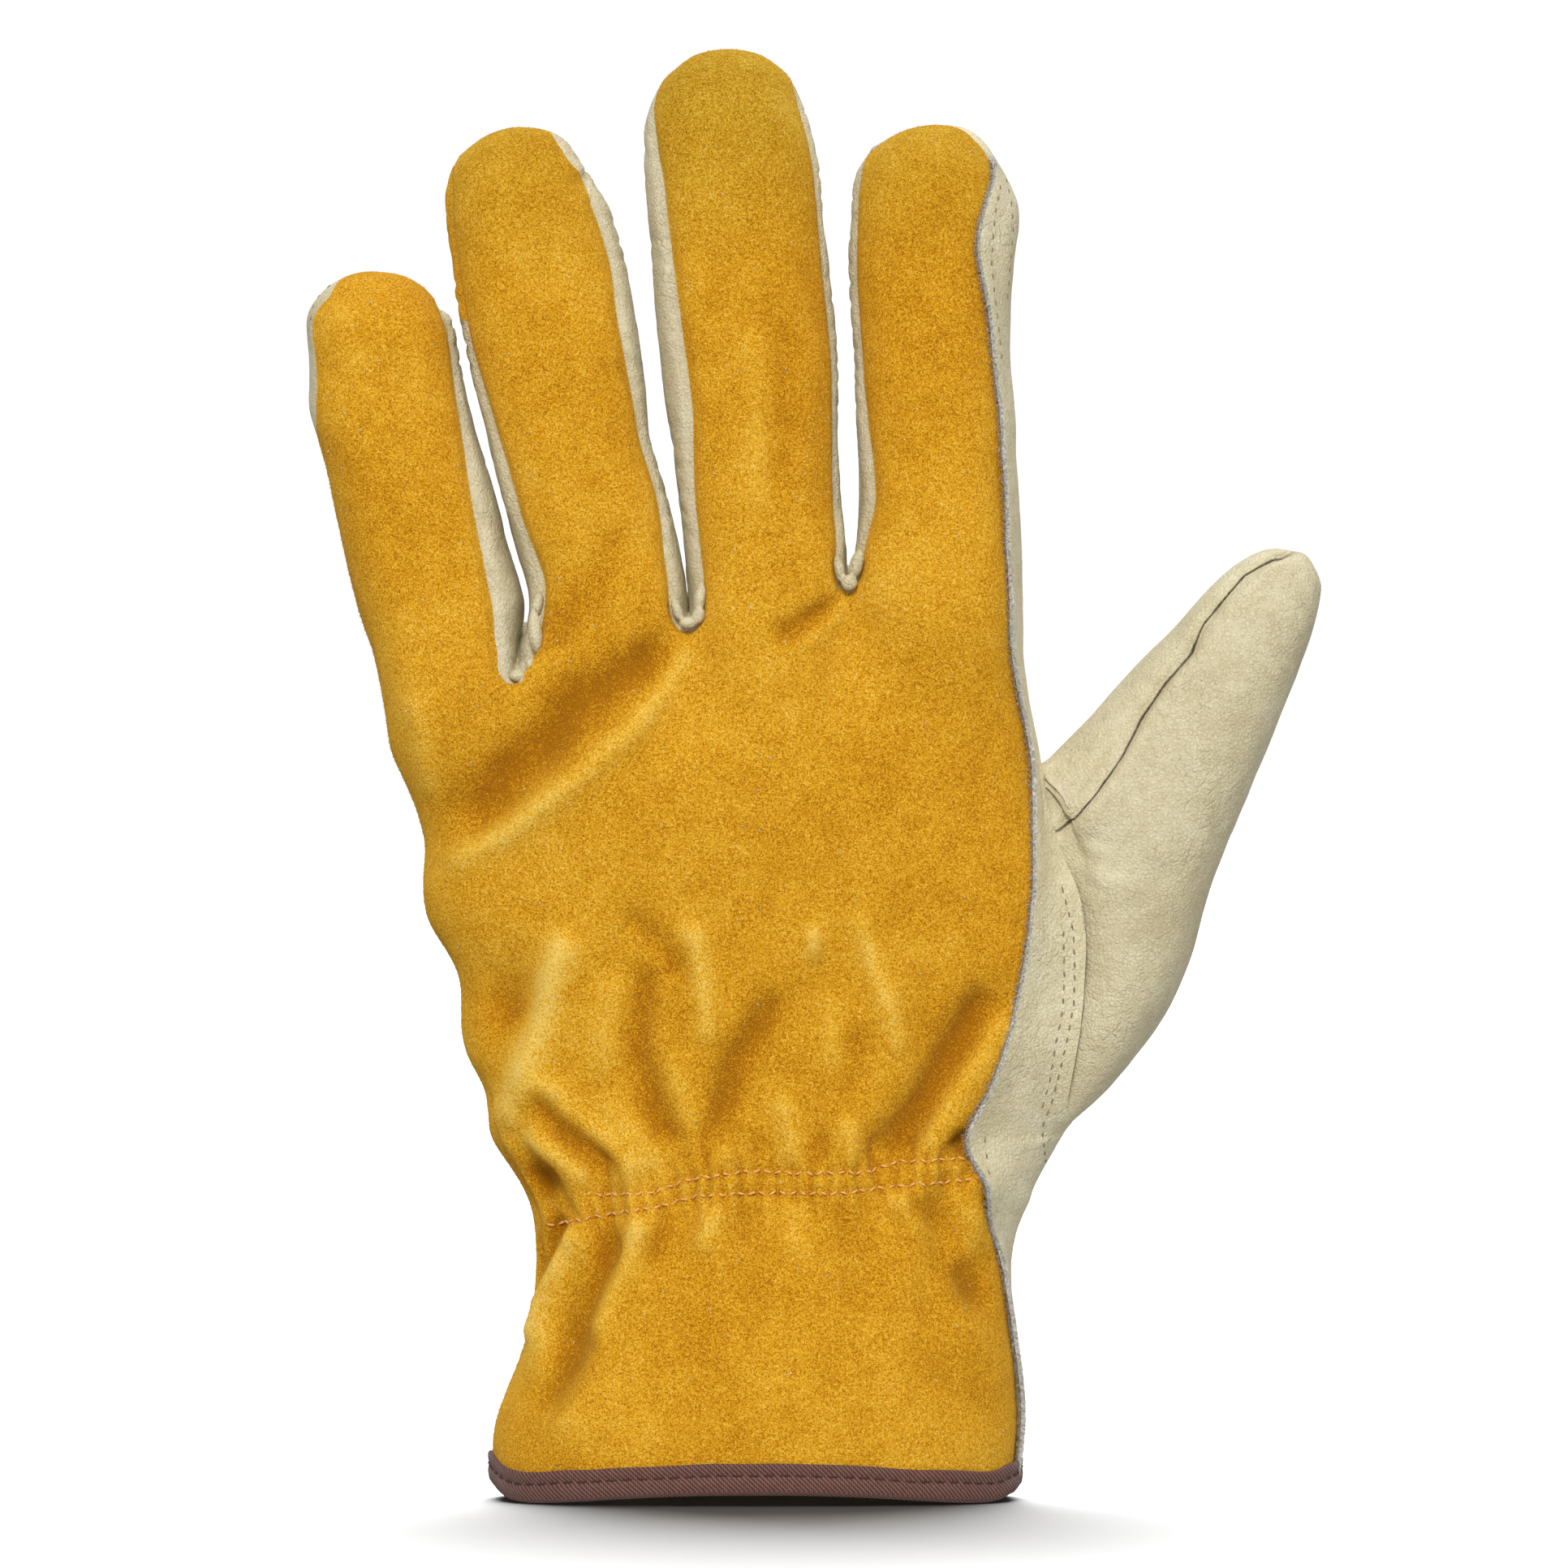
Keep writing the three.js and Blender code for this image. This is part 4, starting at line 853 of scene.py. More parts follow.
def wornLines(tree, place, values):
    # fine crossing wrinkles, stronger in some patches than in others
    links = {"Vector": place, "Scale": 1000 / grain["bend"], "Detail": grain["bendDetail"]}
    bend = addNode(tree, "ShaderNodeTexNoise", links)["Color"]
    links = {0: bend, "Scale": grain["bend"] * mm}
    scaled = addNode(tree, "ShaderNodeVectorMath", links, operation="SCALE")[0]
    bent = addNode(tree, "ShaderNodeVectorMath", {0: place, 1: scaled}, operation="ADD")[0]
    steep = mathNode(tree, "MULTIPLY", cellNode(tree, bent, values["wrinkle"]), grain["lineSteep"])
    line = mathNode(tree, "MINIMUM", steep, grain["lineTop"])
    patch = rangeNode(tree, noiseNode(tree, place, *grain["patch"]), *grain["patchRange"])
    return mathNode(tree, "MULTIPLY", mathNode(tree, "MULTIPLY", line, patch), values["wrinkled"])


def paintGrain(tree, shader, place, values):
    setInputs(shader, {"Roughness": values["rough"], "Specular IOR Level": 0.35, "Sheen Weight": 0.04})
    layers = {key: noiseNode(tree, place, *grain[key]) for key in ("cloud", "stain", "speck")}
    layers["pores"] = mathNode(tree, "MINIMUM", cellNode(tree, place, values["grain"]), grain["poreTop"])
    parts = [(layers[key], share) for key, share in grain["shares"].items()]
    value = weightedSum(tree, grain["start"], parts)
    colour = rampNode(tree, value, [(0.34, values["dark"]), (0.5, values["mid"]), (0.66, values["pale"])])
    creases = mathNode(tree, "ADD", noiseNode(tree, place, *grain["crease"]), wornLines(tree, place, values))
    last = bumpNode(tree, layers["pores"], *grain["poreBump"])
    last = bumpNode(tree, creases, *grain["creaseBump"], last)
    if "groove" in values:
        # a dark sewn groove, painted near-black as shade by the distance from its line in millimetres
        away = mathNode(tree, "ABSOLUTE", attributeNode(tree, "groove"), 0.0)
        edge = weightedSum(tree, away, [(layers["stain"], grain["grooveEdgeNoise"])])
        shut = mathNode(tree, "SUBTRACT", 1.0, attributeNode(tree, "grooveOpen"))
        lit = mathNode(tree, "MAXIMUM", rangeNode(tree, edge, *values["groove"]), shut)
        colour = mixColour(tree, lit, (*values["grooveShadeColour"], 1), colour)
        last = bumpNode(tree, lit, *grain["grooveBump"], last)
    tree.links.new(colour, shader.inputs["Base Color"])
    tree.links.new(last, shader.inputs["Normal"])


def fibreMaterial(name, dark, pale, size, rough, bump):
    material, tree, shader, place = newMaterial(name, {"Roughness": rough, "Specular IOR Level": 0.2})
    value = noiseNode(tree, place, size, 4, 0.7)
    tree.links.new(rampNode(tree, value, [(0.3, dark), (0.7, pale)]), shader.inputs["Base Color"])
    tree.links.new(bumpNode(tree, value, bump, 0.6), shader.inputs["Normal"])
    return material


# Cream leathers: their darkest, usual and palest colours, gloss, and size of grain and wrinkles in
# millimetres; and for the thumb its painted groove shade: the distance from the seam line in millimetres
# over which it fades out, and its near-black colour
creams = {
    "palm": {
        "dark": (0.583, 0.501, 0.292), "mid": (0.682, 0.605, 0.385), "pale": (0.770, 0.710, 0.501),
        "rough": 0.52, "grain": 0.75, "wrinkle": 2.3, "wrinkled": 0.34,
    },
    "gusset": {
        "dark": (0.530, 0.449, 0.265), "mid": (0.632, 0.556, 0.352), "pale": (0.714, 0.653, 0.459),
        "rough": 0.50, "grain": 0.7, "wrinkle": 1.8, "wrinkled": 0.30,
    },
    "thumb": {
        "dark": (0.525, 0.446, 0.263), "mid": (0.630, 0.557, 0.352), "pale": (0.714, 0.651, 0.441),
        "rough": 0.46, "grain": 0.7, "wrinkle": 2.2, "wrinkled": 0.26, "groove": (0.14, 0.36),
        "grooveShadeColour": (0.055, 0.038, 0.022),
    },
}
# Threads, fibres and cut edges: name, darkest and palest colour, size of noise, roughness and bump
plainMaterials = {
    "rawEdge": ("raw_leather_edge", (0.38, 0.38, 0.35), (0.84, 0.82, 0.74), 0.5, 0.95, 0.5),
    "suedeEdge": ("cut_suede_edge", (0.42, 0.17, 0.01), (0.66, 0.34, 0.05), 0.6, 0.95, 0.4),
    "fleshSide": ("inner_flesh_side", (0.50, 0.42, 0.28), (0.66, 0.58, 0.42), 1.2, 0.95, 0.4),
    "orangeThread": ("orange_thread", (0.60, 0.25, 0.05), (0.90, 0.52, 0.19), 0.5, 0.7, 0.1),
    "napFibre": ("suede_nap", (0.56, 0.26, 0.010), (0.86, 0.52, 0.075), 1.6, 0.9, 0.1),
    "lint": ("pale_lint", (0.72, 0.60, 0.38), (0.90, 0.84, 0.66), 3.0, 0.9, 0.1),
    "seamThread": ("seam_thread", (0.16, 0.125, 0.075), (0.34, 0.28, 0.18), 0.5, 0.7, 0.1),
    "brownThread": ("brown_thread", (0.035, 0.015, 0.012), (0.09, 0.045, 0.035), 0.5, 0.7, 0.1),
}
materials = {
    "suede": suedeMaterial(), "grain_leather": grainMaterial("cream_grain_leather", creams["palm"]),
    "gusset_leather": grainMaterial("cream_gusset_leather", creams["gusset"]),
    "thumb_leather": grainMaterial("beige_thumb_leather", creams["thumb"]),
}
materials.update({key: fibreMaterial(*row) for key, row in plainMaterials.items()})


def addObject(name, data):
    made = bpy.data.objects.new(name, data)
    bpy.context.scene.collection.objects.link(made)
    return made


def meshPiece(name, points, faces, faceMaterials, slots, attributes=None, sharp=None):
    mesh = bpy.data.meshes.new(name)
    mesh.from_pydata(points.tolist(), [], faces)
    mesh.update()
    for slot in slots:
        mesh.materials.append(materials[slot])
    mesh.polygons.foreach_set("material_index", np.asarray(faceMaterials, dtype=np.int32))
    mesh.polygons.foreach_set("use_smooth", np.ones(len(faces), dtype=bool))
    for key, values in (attributes or {}).items():
        mesh.attributes.new(key, "FLOAT", "POINT").data.foreach_set("value", values.astype(np.float32))
    if sharp is not None:
        ends = np.empty(len(mesh.edges) * 2, dtype=np.int32)
        mesh.edges.foreach_get("vertices", ends)
        mesh.edges.foreach_set("use_edge_sharp", sharp[ends].reshape(-1, 2).all(1))
    mesh.update()
    return addObject(name, mesh)


def walledPiece(name):
    # the fine outer skin, a coarser inner skin one wall below it, and the cut edge between them
    piece = leather[name]
    points, normals, wallCount = piece["points"], piece["normals"], piece["wallCount"]
    # beside a turned seam the leather is pared down, so that its inside stays inside
    laps = isLap(name, piece)
    atBack = piece["seamWith"] == "back_panel"
    pared = seams["pared"].get(name, seams["pared"]["gusset"])
    full = smoothStep(piece["toSeam"] / mm, 0, seams["paredWide"])
    edge = seams["lapPared"] if name == "palm_panel" else 1
    share = np.where(laps == 0, pared + (1 - pared) * full, edge + (1 - edge) * full)
    wall = piece["wall"] * np.where(piece["seamWith"] == "hem", 1, share)[:wallCount]
    inner = points[:wallCount] - normals[:wallCount] * wall[:, None]
    if name == "palm_panel":
        skive = laps * atBack * hill(piece["toSeam"], seams["skiveWide"] * mm) * seams["skive"] * mm
        noises = [(height, noiseAt(points, size * mm, seed)) for height, size, seed in seams["skiveNoise"]]
        skive *= 1 + sum(height * rough for height, rough in noises)
        inner += (piece["seamOff"] * skive[:, None])[:wallCount]
    count = len(points)
    outerFaces = piece["quads"].tolist()
    innerFaces = (piece["wallQuads"][:, ::-1] + count).tolist()
    after = {int(a): int(b) for a, b in piece["rim"]}
    before = {int(b): int(a) for a, b in piece["rim"]}
    edgeFaces, edgeShades = [], []
    rawRim = (laps * atBack > 0) | (name == "back_panel")
    for middle in after:
        if middle >= wallCount:
            a, b = before[middle], after[middle]
            edgeFaces.append([b, middle, a, count + a, count + b])
            edgeShades.append(int(rawRim[middle]))
    rimSharp = np.zeros(count + wallCount, dtype=bool)
    rimSharp[piece["rim"].ravel()] = True
    rimSharp[[v + count for v in after if v < wallCount]] = True
    values = {
        # fold height, read by the suede's colour as painted shade in valleys and painted light on ridges
        "fold": np.concatenate([piece["fold"], np.zeros(wallCount)]),
        "reach": np.concatenate([piece["reach"], piece["reach"][:wallCount]]),
    }
    if "groove" in piece:
        values["groove"] = np.concatenate([piece["groove"], np.full(wallCount, farAway)])
        values["grooveOpen"] = np.concatenate([piece["grooveOpen"], np.zeros(wallCount)])
    made = meshPiece(
        name + "_leather", np.concatenate([points, inner]), outerFaces + edgeFaces + innerFaces,
        [0] * len(outerFaces) + edgeShades + [2] * len(innerFaces),
        [piece["slot"], "suedeEdge" if name == "back_panel" else "rawEdge", "fleshSide"], values, rimSharp,
    )
    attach(made, "root")
    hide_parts(name)


for nodeName in leather:
    walledPiece(nodeName)
print("leather pieces made")

# The hem tape: a folded strip of woven tape round the cuff's edge, in millimetres
tape = {
    "high": 5.4, "thick": 0.8, "gap": 0.3, "leather": 1.4, "stations": 420, "bulge": 0.25, "pinch": 0.28,
    "pinchWide": 0.7, "stitchBelowTop": 2.0, "ripple": 0.25, "rippleUp": 0.3, "rippleFrom": 2, "lean": 0.35,
    "rimReach": 0.2 * mm, "cuff": (45, 27), "samples": 2000, "smooth": 9, "faceRows": 13,
    "waves": [(4, 0), (18, 2)],
}


def smoothed(rows, count, ends):
    # a running mean along the rows; ends is how np.pad goes on past them
    padded = np.pad(rows, ((count // 2, count // 2), (0, 0)), mode=ends)
    return np.stack([np.convolve(padded[:, k], np.ones(count) / count, "valid") for k in range(3)], 1)


def rowsAt(places, known, rows, period=None):
    return np.stack([np.interp(places, known, rows[:, k], period=period) for k in range(3)], 1)


def hemLoop():
    # the leather's lowest edge, in order round the cuff, with the way out and the way up
    found = []
    for name in ("back_panel", "palm_panel"):
        piece = leather[name]
        rim = np.unique(piece["rim"].ravel())
        low = rim[(piece["seamWith"][rim] == "hem") & (piece["toSeam"][rim] < tape["rimReach"])]
        found.append((piece["points"][low], piece["normals"][low], -piece["seamOff"][low]))
    loop = [np.concatenate(rows) for rows in zip(*found)]
    angles = np.arctan2(loop[0][:, 1] / tape["cuff"][1], loop[0][:, 0] / tape["cuff"][0])
    order = np.argsort(angles)
    even = np.linspace(-math.pi, math.pi, tape["samples"], endpoint=False)
    loop = [rowsAt(even, angles[order], rows[order], 2 * math.pi) for rows in loop]
    length = np.concatenate([[0], np.cumsum(np.linalg.norm(np.roll(loop[0], -1, 0) - loop[0], axis=1))])
    stations = np.linspace(0, length[-1], tape["stations"], endpoint=False)
    places, outs, ups = (rowsAt(stations, length, np.concatenate([rows, rows[:1]])) for rows in loop)
    ups = ups * tape["lean"] + np.array([0, 0, 1 - tape["lean"]])
    outs, ups = (smoothed(rows, tape["smooth"], "wrap") for rows in (outs, ups))
    outs, ups = (rows / np.linalg.norm(rows, axis=1, keepdims=True) for rows in (outs, ups))
    return places, outs, ups, stations


def tapeSection():
    # corners of the folded tape's cross-section: out from the leather's face, up from its edge
    out, thick = tape["gap"], tape["thick"]
    outer, inner = out + thick, -tape["leather"] - out
    low, top = -outer, tape["high"] - outer
    face = [(outer, up) for up in np.linspace(0.6, top - 0.3, tape["faceRows"])]
    return np.array([
        (outer, low + thick * 0.9), *face, (outer - 0.12, top - 0.05), (outer - 0.5 * thick, top),
        (out + 0.02, top - 0.1), (out, top - 0.9), (out, 0.6), (out - 0.1, -0.2), (inner + 0.1, -0.2),
        (inner, 0.6), (inner, top - 0.6), (inner - 0.5 * thick, top), (inner - thick, top - 0.2),
        (inner - thick, 2.0), (inner - thick, 0.2), (inner - thick * 0.6, low + 0.25), (inner, low),
        (out, low), (out + 0.6 * thick, low + 0.2),
    ])


def tapePiece():
    places, outs, ups, stations = hemLoop()
    section = tapeSection()
    count, sides = len(places), len(section)
    out, up = section[:, 0], section[:, 1]
    stitchUp = tape["high"] - tape["thick"] - tape["gap"] - tape["stitchBelowTop"]
    isFace = out > tape["gap"] + 0.5 * tape["thick"]
    pinch = hill(up - stitchUp, tape["pinchWide"]) * isFace * tape["pinch"]
    crown = np.sin(np.clip((up + 1) / tape["high"], 0, 1) * math.pi) * isFace * tape["bulge"]
    turns = stations / stations[-1] * 2 * math.pi
    waves = [np.array([noise.noise(Vector((math.cos(a), math.sin(a), z)) * scale) for a in turns])
             for scale, z in tape["waves"]]
    shift = sum(waves) / len(waves) * tape["ripple"]
    offset = out + crown - pinch + shift[:, None] * isFace
    rise = up + waves[0][:, None] * tape["rippleUp"] * (up > tape["rippleFrom"])
    grid = places[:, None] + outs[:, None] * (offset * mm)[..., None] + ups[:, None] * (rise * mm)[..., None]
    faces = []
    for i in range(count):
        here, there = i * sides, (i + 1) % count * sides
        for j in range(sides):
            k = (j + 1) % sides
            faces.append([here + j, here + k, there + k, there + j])
    points = grid.reshape(-1, 3)
    onFace = pointNormals(points, np.array(faces)).reshape(count, sides, 3)[:, tape["faceRows"] // 2]
    if (onFace * outs).sum() < 0:
        faces = [face[::-1] for face in faces]
    made = meshPiece("hem_binding_tape", points, faces, [0] * len(faces), ["binding_tape"])
    around = np.concatenate([[0], np.cumsum(np.linalg.norm(np.diff(section, axis=0), axis=1))])
    layer = made.data.uv_layers.new(name="tape")
    step = stations[1] - stations[0]
    for polygon in made.data.polygons:
        i, j = divmod(polygon.index, sides)
        for loop in polygon.loop_indices:
            station, side = divmod(made.data.loops[loop].vertex_index, sides)
            station += count if station < i else 0
            along = around[side] if not (j == sides - 1 and side == 0) else around[-1] + 1
            layer.data[loop].uv = (station * step / mm, along)
    # the line that its stitches follow, on the outer face
    side = 1 + int(np.abs(up[1:1 + tape["faceRows"]] - stitchUp).argmin())
    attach(made, "root")
    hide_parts("hem_binding")
    return grid[:, side], outs


# The tape's weave: two sets of bands and a worn noise, and each one's share
weave = {
    "DIAGONAL": {"Scale": 0.75, "Distortion": 0.6, "Detail": 2, "Detail Scale": 3},
    "X": {"Scale": 0.85, "Distortion": 0.8, "Detail": 2, "Detail Scale": 4},
}


def tapeMaterial():
    material, tree, shader, _ = newMaterial("brown_twill_tape", {
        "Roughness": 0.88, "Specular IOR Level": 0.18, "Sheen Weight": 0.15, "Sheen Roughness": 0.4,
    })
    flat = addNode(tree, "ShaderNodeUVMap", uv_map="tape")["UV"]
    bands = {}
    for way, values in weave.items():
        settings = {"wave_type": "BANDS", "bands_direction": way}
        bands[way] = addNode(tree, "ShaderNodeTexWave", {"Vector": flat, **values}, **settings)["Fac"]
    links = {"Vector": flat, "Scale": 0.9, "Detail": 5, "Roughness": 0.7}
    worn = addNode(tree, "ShaderNodeTexNoise", links)["Fac"]
    value = weightedSum(tree, 0.0, [(bands["DIAGONAL"], 0.45), (bands["X"], 0.2), (worn, 0.4)])
    colour = rampNode(tree, value, [
        (0.15, (0.050, 0.021, 0.016)), (0.5, (0.115, 0.050, 0.038)), (0.85, (0.24, 0.13, 0.105)),
    ])
    tree.links.new(colour, shader.inputs["Base Color"])
    tree.links.new(bumpNode(tree, value, 0.35, 0.6), shader.inputs["Normal"])
    return material


materials["binding_tape"] = tapeMaterial()
tapeRow = tapePiece()
print("hem tape made")


def treeInputs(tree, inputs):
    # named inputs and the one output of a Geometry Nodes tree
    kinds = {float: "NodeSocketFloat", int: "NodeSocketInt", str: "NodeSocketMaterial"}
    tree.interface.new_socket("Geometry", in_out="INPUT", socket_type="NodeSocketGeometry")
    for key, value in inputs.items():
        tree.interface.new_socket(key, in_out="INPUT", socket_type=kinds[type(value)])
    tree.interface.new_socket("Geometry", in_out="OUTPUT", socket_type="NodeSocketGeometry")
    return tree.nodes.new("NodeGroupInput").outputs, tree.nodes.new("NodeGroupOutput").inputs


def randomFloat(tree, low, high, seed):
    made = tree.nodes.new("FunctionNodeRandomValue")
    made.data_type = "FLOAT"
    sockets = [socket for socket in made.inputs if socket.type == "VALUE"]
    for socket, value in zip(sockets, (low, high)):
        if isinstance(value, float):
            socket.default_value = value
        else:
            tree.links.new(value, socket)
    tree.links.new(seed, made.inputs["Seed"])
    return next(socket for socket in made.outputs if socket.type == "VALUE")


def finishTree(tree, instances, given, output):
    real = addNode(tree, "GeometryNodeRealizeInstances", {"Geometry": instances})[0]
    smooth = addNode(tree, "GeometryNodeSetShadeSmooth", {"Geometry": real})[0]
    painted = addNode(tree, "GeometryNodeSetMaterial", {"Geometry": smooth, "Material": given["Material"]})[0]
    tree.links.new(painted, output["Geometry"])
    return tree


# What each kind of stitching and fibre starts from, in metres and radians
growing = {
    "stitches": {
        "Pitch": 2.2 * mm, "Length": 1.0 * mm, "Thick": 0.34 * mm, "Lift": 0.02 * mm, "Slant": 0.0,
        "Jitter": 0.1, "Seed": 1, "Material": "seamThread",
    },
    "fibres": {
        "Density": 1e6, "Length": 0.6 * mm, "Width": 0.1 * mm, "TiltFrom": 0.8, "TiltTo": 1.45, "Seed": 1,
        "Material": "napFibre",
    },
}
bead = {"Segments": 8, "Rings": 5, "Radius": 0.5}
spikeLengths = (0.5, 1.3)


def stitchTree():
    # one stitch at each step along every line of the mesh, laid along it and facing out
    tree = bpy.data.node_groups.new("stitches_on_lines", "GeometryNodeTree")
    given, output = treeInputs(tree, growing["stitches"])
    curve = addNode(tree, "GeometryNodeMeshToCurve", {"Mesh": given["Geometry"]})[0]
    links = {"Curve": curve, "Length": given["Pitch"]}
    steps = addNode(tree, "GeometryNodeResampleCurve", links, mode="LENGTH")[0]
    links = {"X": given["Length"], "Y": given["Thick"], "Z": given["Thick"]}
    size = addNode(tree, "ShaderNodeCombineXYZ", links)[0]
    ball = addNode(tree, "GeometryNodeMeshUVSphere", bead)[0]
    stitch = addNode(tree, "GeometryNodeTransform", {"Geometry": ball, "Scale": size})[0]
    tangent = addNode(tree, "GeometryNodeInputTangent")[0]
    facing = addNode(tree, "GeometryNodeInputNamedAttribute", {"Name": "out"}, data_type="FLOAT_VECTOR")[0]
    turn = "FunctionNodeAlignRotationToVector"
    along = addNode(tree, turn, {"Vector": tangent}, axis="X")[0]
    turned = addNode(tree, turn, {"Rotation": along, "Vector": facing}, axis="Z", pivot_axis="X")[0]
    links = {"Points": steps, "Instance": stitch, "Rotation": turned}
    placed = addNode(tree, "GeometryNodeInstanceOnPoints", links)[0]
    odd = mathNode(tree, "MODULO", addNode(tree, "GeometryNodeInputIndex")[0], 2.0)
    side = mathNode(tree, "SUBTRACT", mathNode(tree, "MULTIPLY", odd, 2.0), 1.0)
    slant = mathNode(tree, "MULTIPLY", side, given["Slant"])
    less = mathNode(tree, "MULTIPLY", given["Jitter"], -1.0)
    wobble = mathNode(tree, "ADD", slant, randomFloat(tree, less, given["Jitter"], given["Seed"]))
    spin = addNode(tree, "ShaderNodeCombineXYZ", {"Z": wobble})[0]
    spun = addNode(tree, "GeometryNodeRotateInstances", {"Instances": placed, "Rotation": spin})[0]
    lift = addNode(tree, "ShaderNodeCombineXYZ", {"Z": given["Lift"]})[0]
    lifted = addNode(tree, "GeometryNodeTranslateInstances", {"Instances": spun, "Translation": lift})[0]
    return finishTree(tree, lifted, given, output)


def fibreTree():
    # thin closed spikes strewn over a surface, each leaning its own way
    tree = bpy.data.node_groups.new("fibres_on_surface", "GeometryNodeTree")
    given, output = treeInputs(tree, growing["fibres"])
    links = {"Mesh": given["Geometry"], "Density": given["Density"], "Seed": given["Seed"]}
    strewn = addNode(tree, "GeometryNodeDistributePointsOnFaces", links)
    half = mathNode(tree, "MULTIPLY", given["Width"], 0.5)
    links = {"Vertices": 3, "Radius Top": 0.0, "Radius Bottom": half, "Depth": given["Length"]}
    spike = addNode(tree, "GeometryNodeMeshCone", links)["Mesh"]
    tilt = randomFloat(tree, given["TiltFrom"], given["TiltTo"], given["Seed"])
    spin = randomFloat(tree, 0.0, 2 * math.pi, mathNode(tree, "ADD", given["Seed"], 1.0))
    lean = addNode(tree, "ShaderNodeCombineXYZ", {"X": tilt, "Z": spin})[0]
    links = {"Rotation": strewn["Rotation"], "Rotate By": lean}
    rotation = addNode(tree, "FunctionNodeRotateRotation", links, rotation_space="LOCAL")[0]
    longer = randomFloat(tree, *spikeLengths, mathNode(tree, "ADD", given["Seed"], 2.0))
    size = addNode(tree, "ShaderNodeCombineXYZ", {"X": 1.0, "Y": 1.0, "Z": longer})[0]
    links = {"Points": strewn["Points"], "Instance": spike, "Rotation": rotation, "Scale": size}
    placed = addNode(tree, "GeometryNodeInstanceOnPoints", links)[0]
    return finishTree(tree, placed, given, output)


trees = {"stitches": stitchTree(), "fibres": fibreTree()}


def evaluatedMesh(base):
    bpy.context.view_layer.update()
    return bpy.data.meshes.new_from_object(base.evaluated_get(bpy.context.evaluated_depsgraph_get()))


def grown(name, mesh, kind, values):
    # runs one of the trees on a base mesh and keeps the result as a plain mesh piece
    base = addObject(name + "_base", mesh)
    modifier = base.modifiers.new("grow", "NODES")
    modifier.node_group = trees[kind]
    items = trees[kind].interface.items_tree
    sockets = {item.name: item.identifier for item in items if item.in_out == "INPUT"}
    for key, value in {**growing[kind], **values}.items():
        modifier[sockets[key]] = materials[value] if key == "Material" else value
    made = addObject(name, evaluatedMesh(base))
    base.modifiers.remove(modifier)
    bpy.data.objects.remove(base)
    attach(made, "root")
    print(name, len(made.data.polygons), "faces")


# Stitch rows on the skin: length of a step, where the rays start, and how many points a row needs
rowWalk = {"step": 0.7 * mm, "from": -0.2, "smooth": 5, "least": 3}


def rowOnSkin(name, line):
    # walks a line of photo pixels in even steps and drops each one on the leather from the front
    places = np.array([fromPhoto(*spot) for spot in line])
    walked = np.concatenate([[0], np.cumsum(np.linalg.norm(np.diff(places, axis=0), axis=1))])
    steps = np.linspace(0, walked[-1], max(2, int(walked[-1] / rowWalk["step"])))
    points, normals = [], []
    for x, z in zip(np.interp(steps, walked, places[:, 0]), np.interp(steps, walked, places[:, 1])):
        place, normal, _, _ = skinTrees[name].ray_cast(Vector((x, rowWalk["from"], z)), Vector((0, 1, 0)))
        if place is not None and normal.y < 0:
            points.append(place)
            normals.append(normal)
    normals = np.array(normals)
    if len(normals) > rowWalk["smooth"]:
        normals = smoothed(normals, rowWalk["smooth"], "edge")
    return np.array(points), normals


def lineMesh(name, lines, closed=False):
    mesh = bpy.data.meshes.new(name)
    points, normals = (np.concatenate(part) for part in zip(*lines))
    edges, start = [], 0
    for line, _ in lines:
        count = len(line)
        edges += [(start + k, start + k + 1) for k in range(count - 1)]
        if closed:
            edges.append((start + count - 1, start))
        start += count
    mesh.from_pydata(points.tolist(), edges, [])
    out = mesh.attributes.new("out", "FLOAT_VECTOR", "POINT")
    out.data.foreach_set("vector", normals.astype(np.float32).ravel())
    return mesh


# Rows of stitching by the photograph's pixels: the skin they lie on, thread, and stitch sizes
stitching = {
    "wrist_shirring": {
        "skin": "back_panel", "rows": gathers["rows"], "slot": "suede",
        "values": {"Pitch": 1.9 * mm, "Length": 1.5 * mm, "Thick": 0.46 * mm, "Lift": 0.12 * mm,
                   "Slant": 0.38, "Jitter": 0.2, "Material": "orangeThread"},
    },
    "thumb_seam_stitches": {
        "skin": "palm_panel", "values": {"Pitch": 2.15 * mm, "Length": 1.15 * mm, "Slant": 0.05},
        "rows": [
            [(1308, 1096), (1321, 1146), (1323, 1192), (1322, 1234), (1315, 1274), (1305, 1318), (1296, 1354),
             (1283, 1389), (1288, 1430)],
            [(1309, 1150), (1310, 1203), (1308, 1243), (1304, 1265), (1299, 1287), (1293, 1328),
             (1284, 1360)],
        ],
    },
    "index_tip_stitches": {
        "skin": "palm_panel", "values": {"Jitter": 0.14, "Seed": 3},
        "rows": [
            [(1232, 232), (1226, 262), (1223, 292), (1221, 325), (1224, 362), (1229, 400), (1233, 440)],
            [(1240, 222), (1246, 250), (1248, 280), (1246, 310), (1243, 340), (1241, 365)],
        ],
    },
    "little_tip_stitches": {
        "skin": "back_panel", "values": {"Length": 0.9 * mm, "Seed": 6},
        "rows": [[(404, 352), (391, 363), (385, 378), (383, 392)]],
    },
    "wrist_side_stitches": {
        "skin": "palm_panel", "values": {"Thick": 0.3 * mm, "Seed": 4},
        "rows": [[(1212, 1402), (1214, 1420), (1217, 1442)]],
    },
}
for rowName, rowSet in stitching.items():
    laid = [rowOnSkin(rowSet["skin"], line) for line in rowSet["rows"]]
    laid = [row for row in laid if len(row[0]) >= rowWalk["least"]]
    grown(rowName, lineMesh(rowName, laid), "stitches", rowSet["values"])

grown("hem_tape_stitches", lineMesh("hem_tape_stitches", [tapeRow], True), "stitches", {
    "Pitch": 2.7 * mm, "Length": 2.1 * mm, "Thick": 0.40 * mm, "Lift": 0.04 * mm, "Jitter": 0.05,
    "Material": "brownThread",
})
print("stitches made")

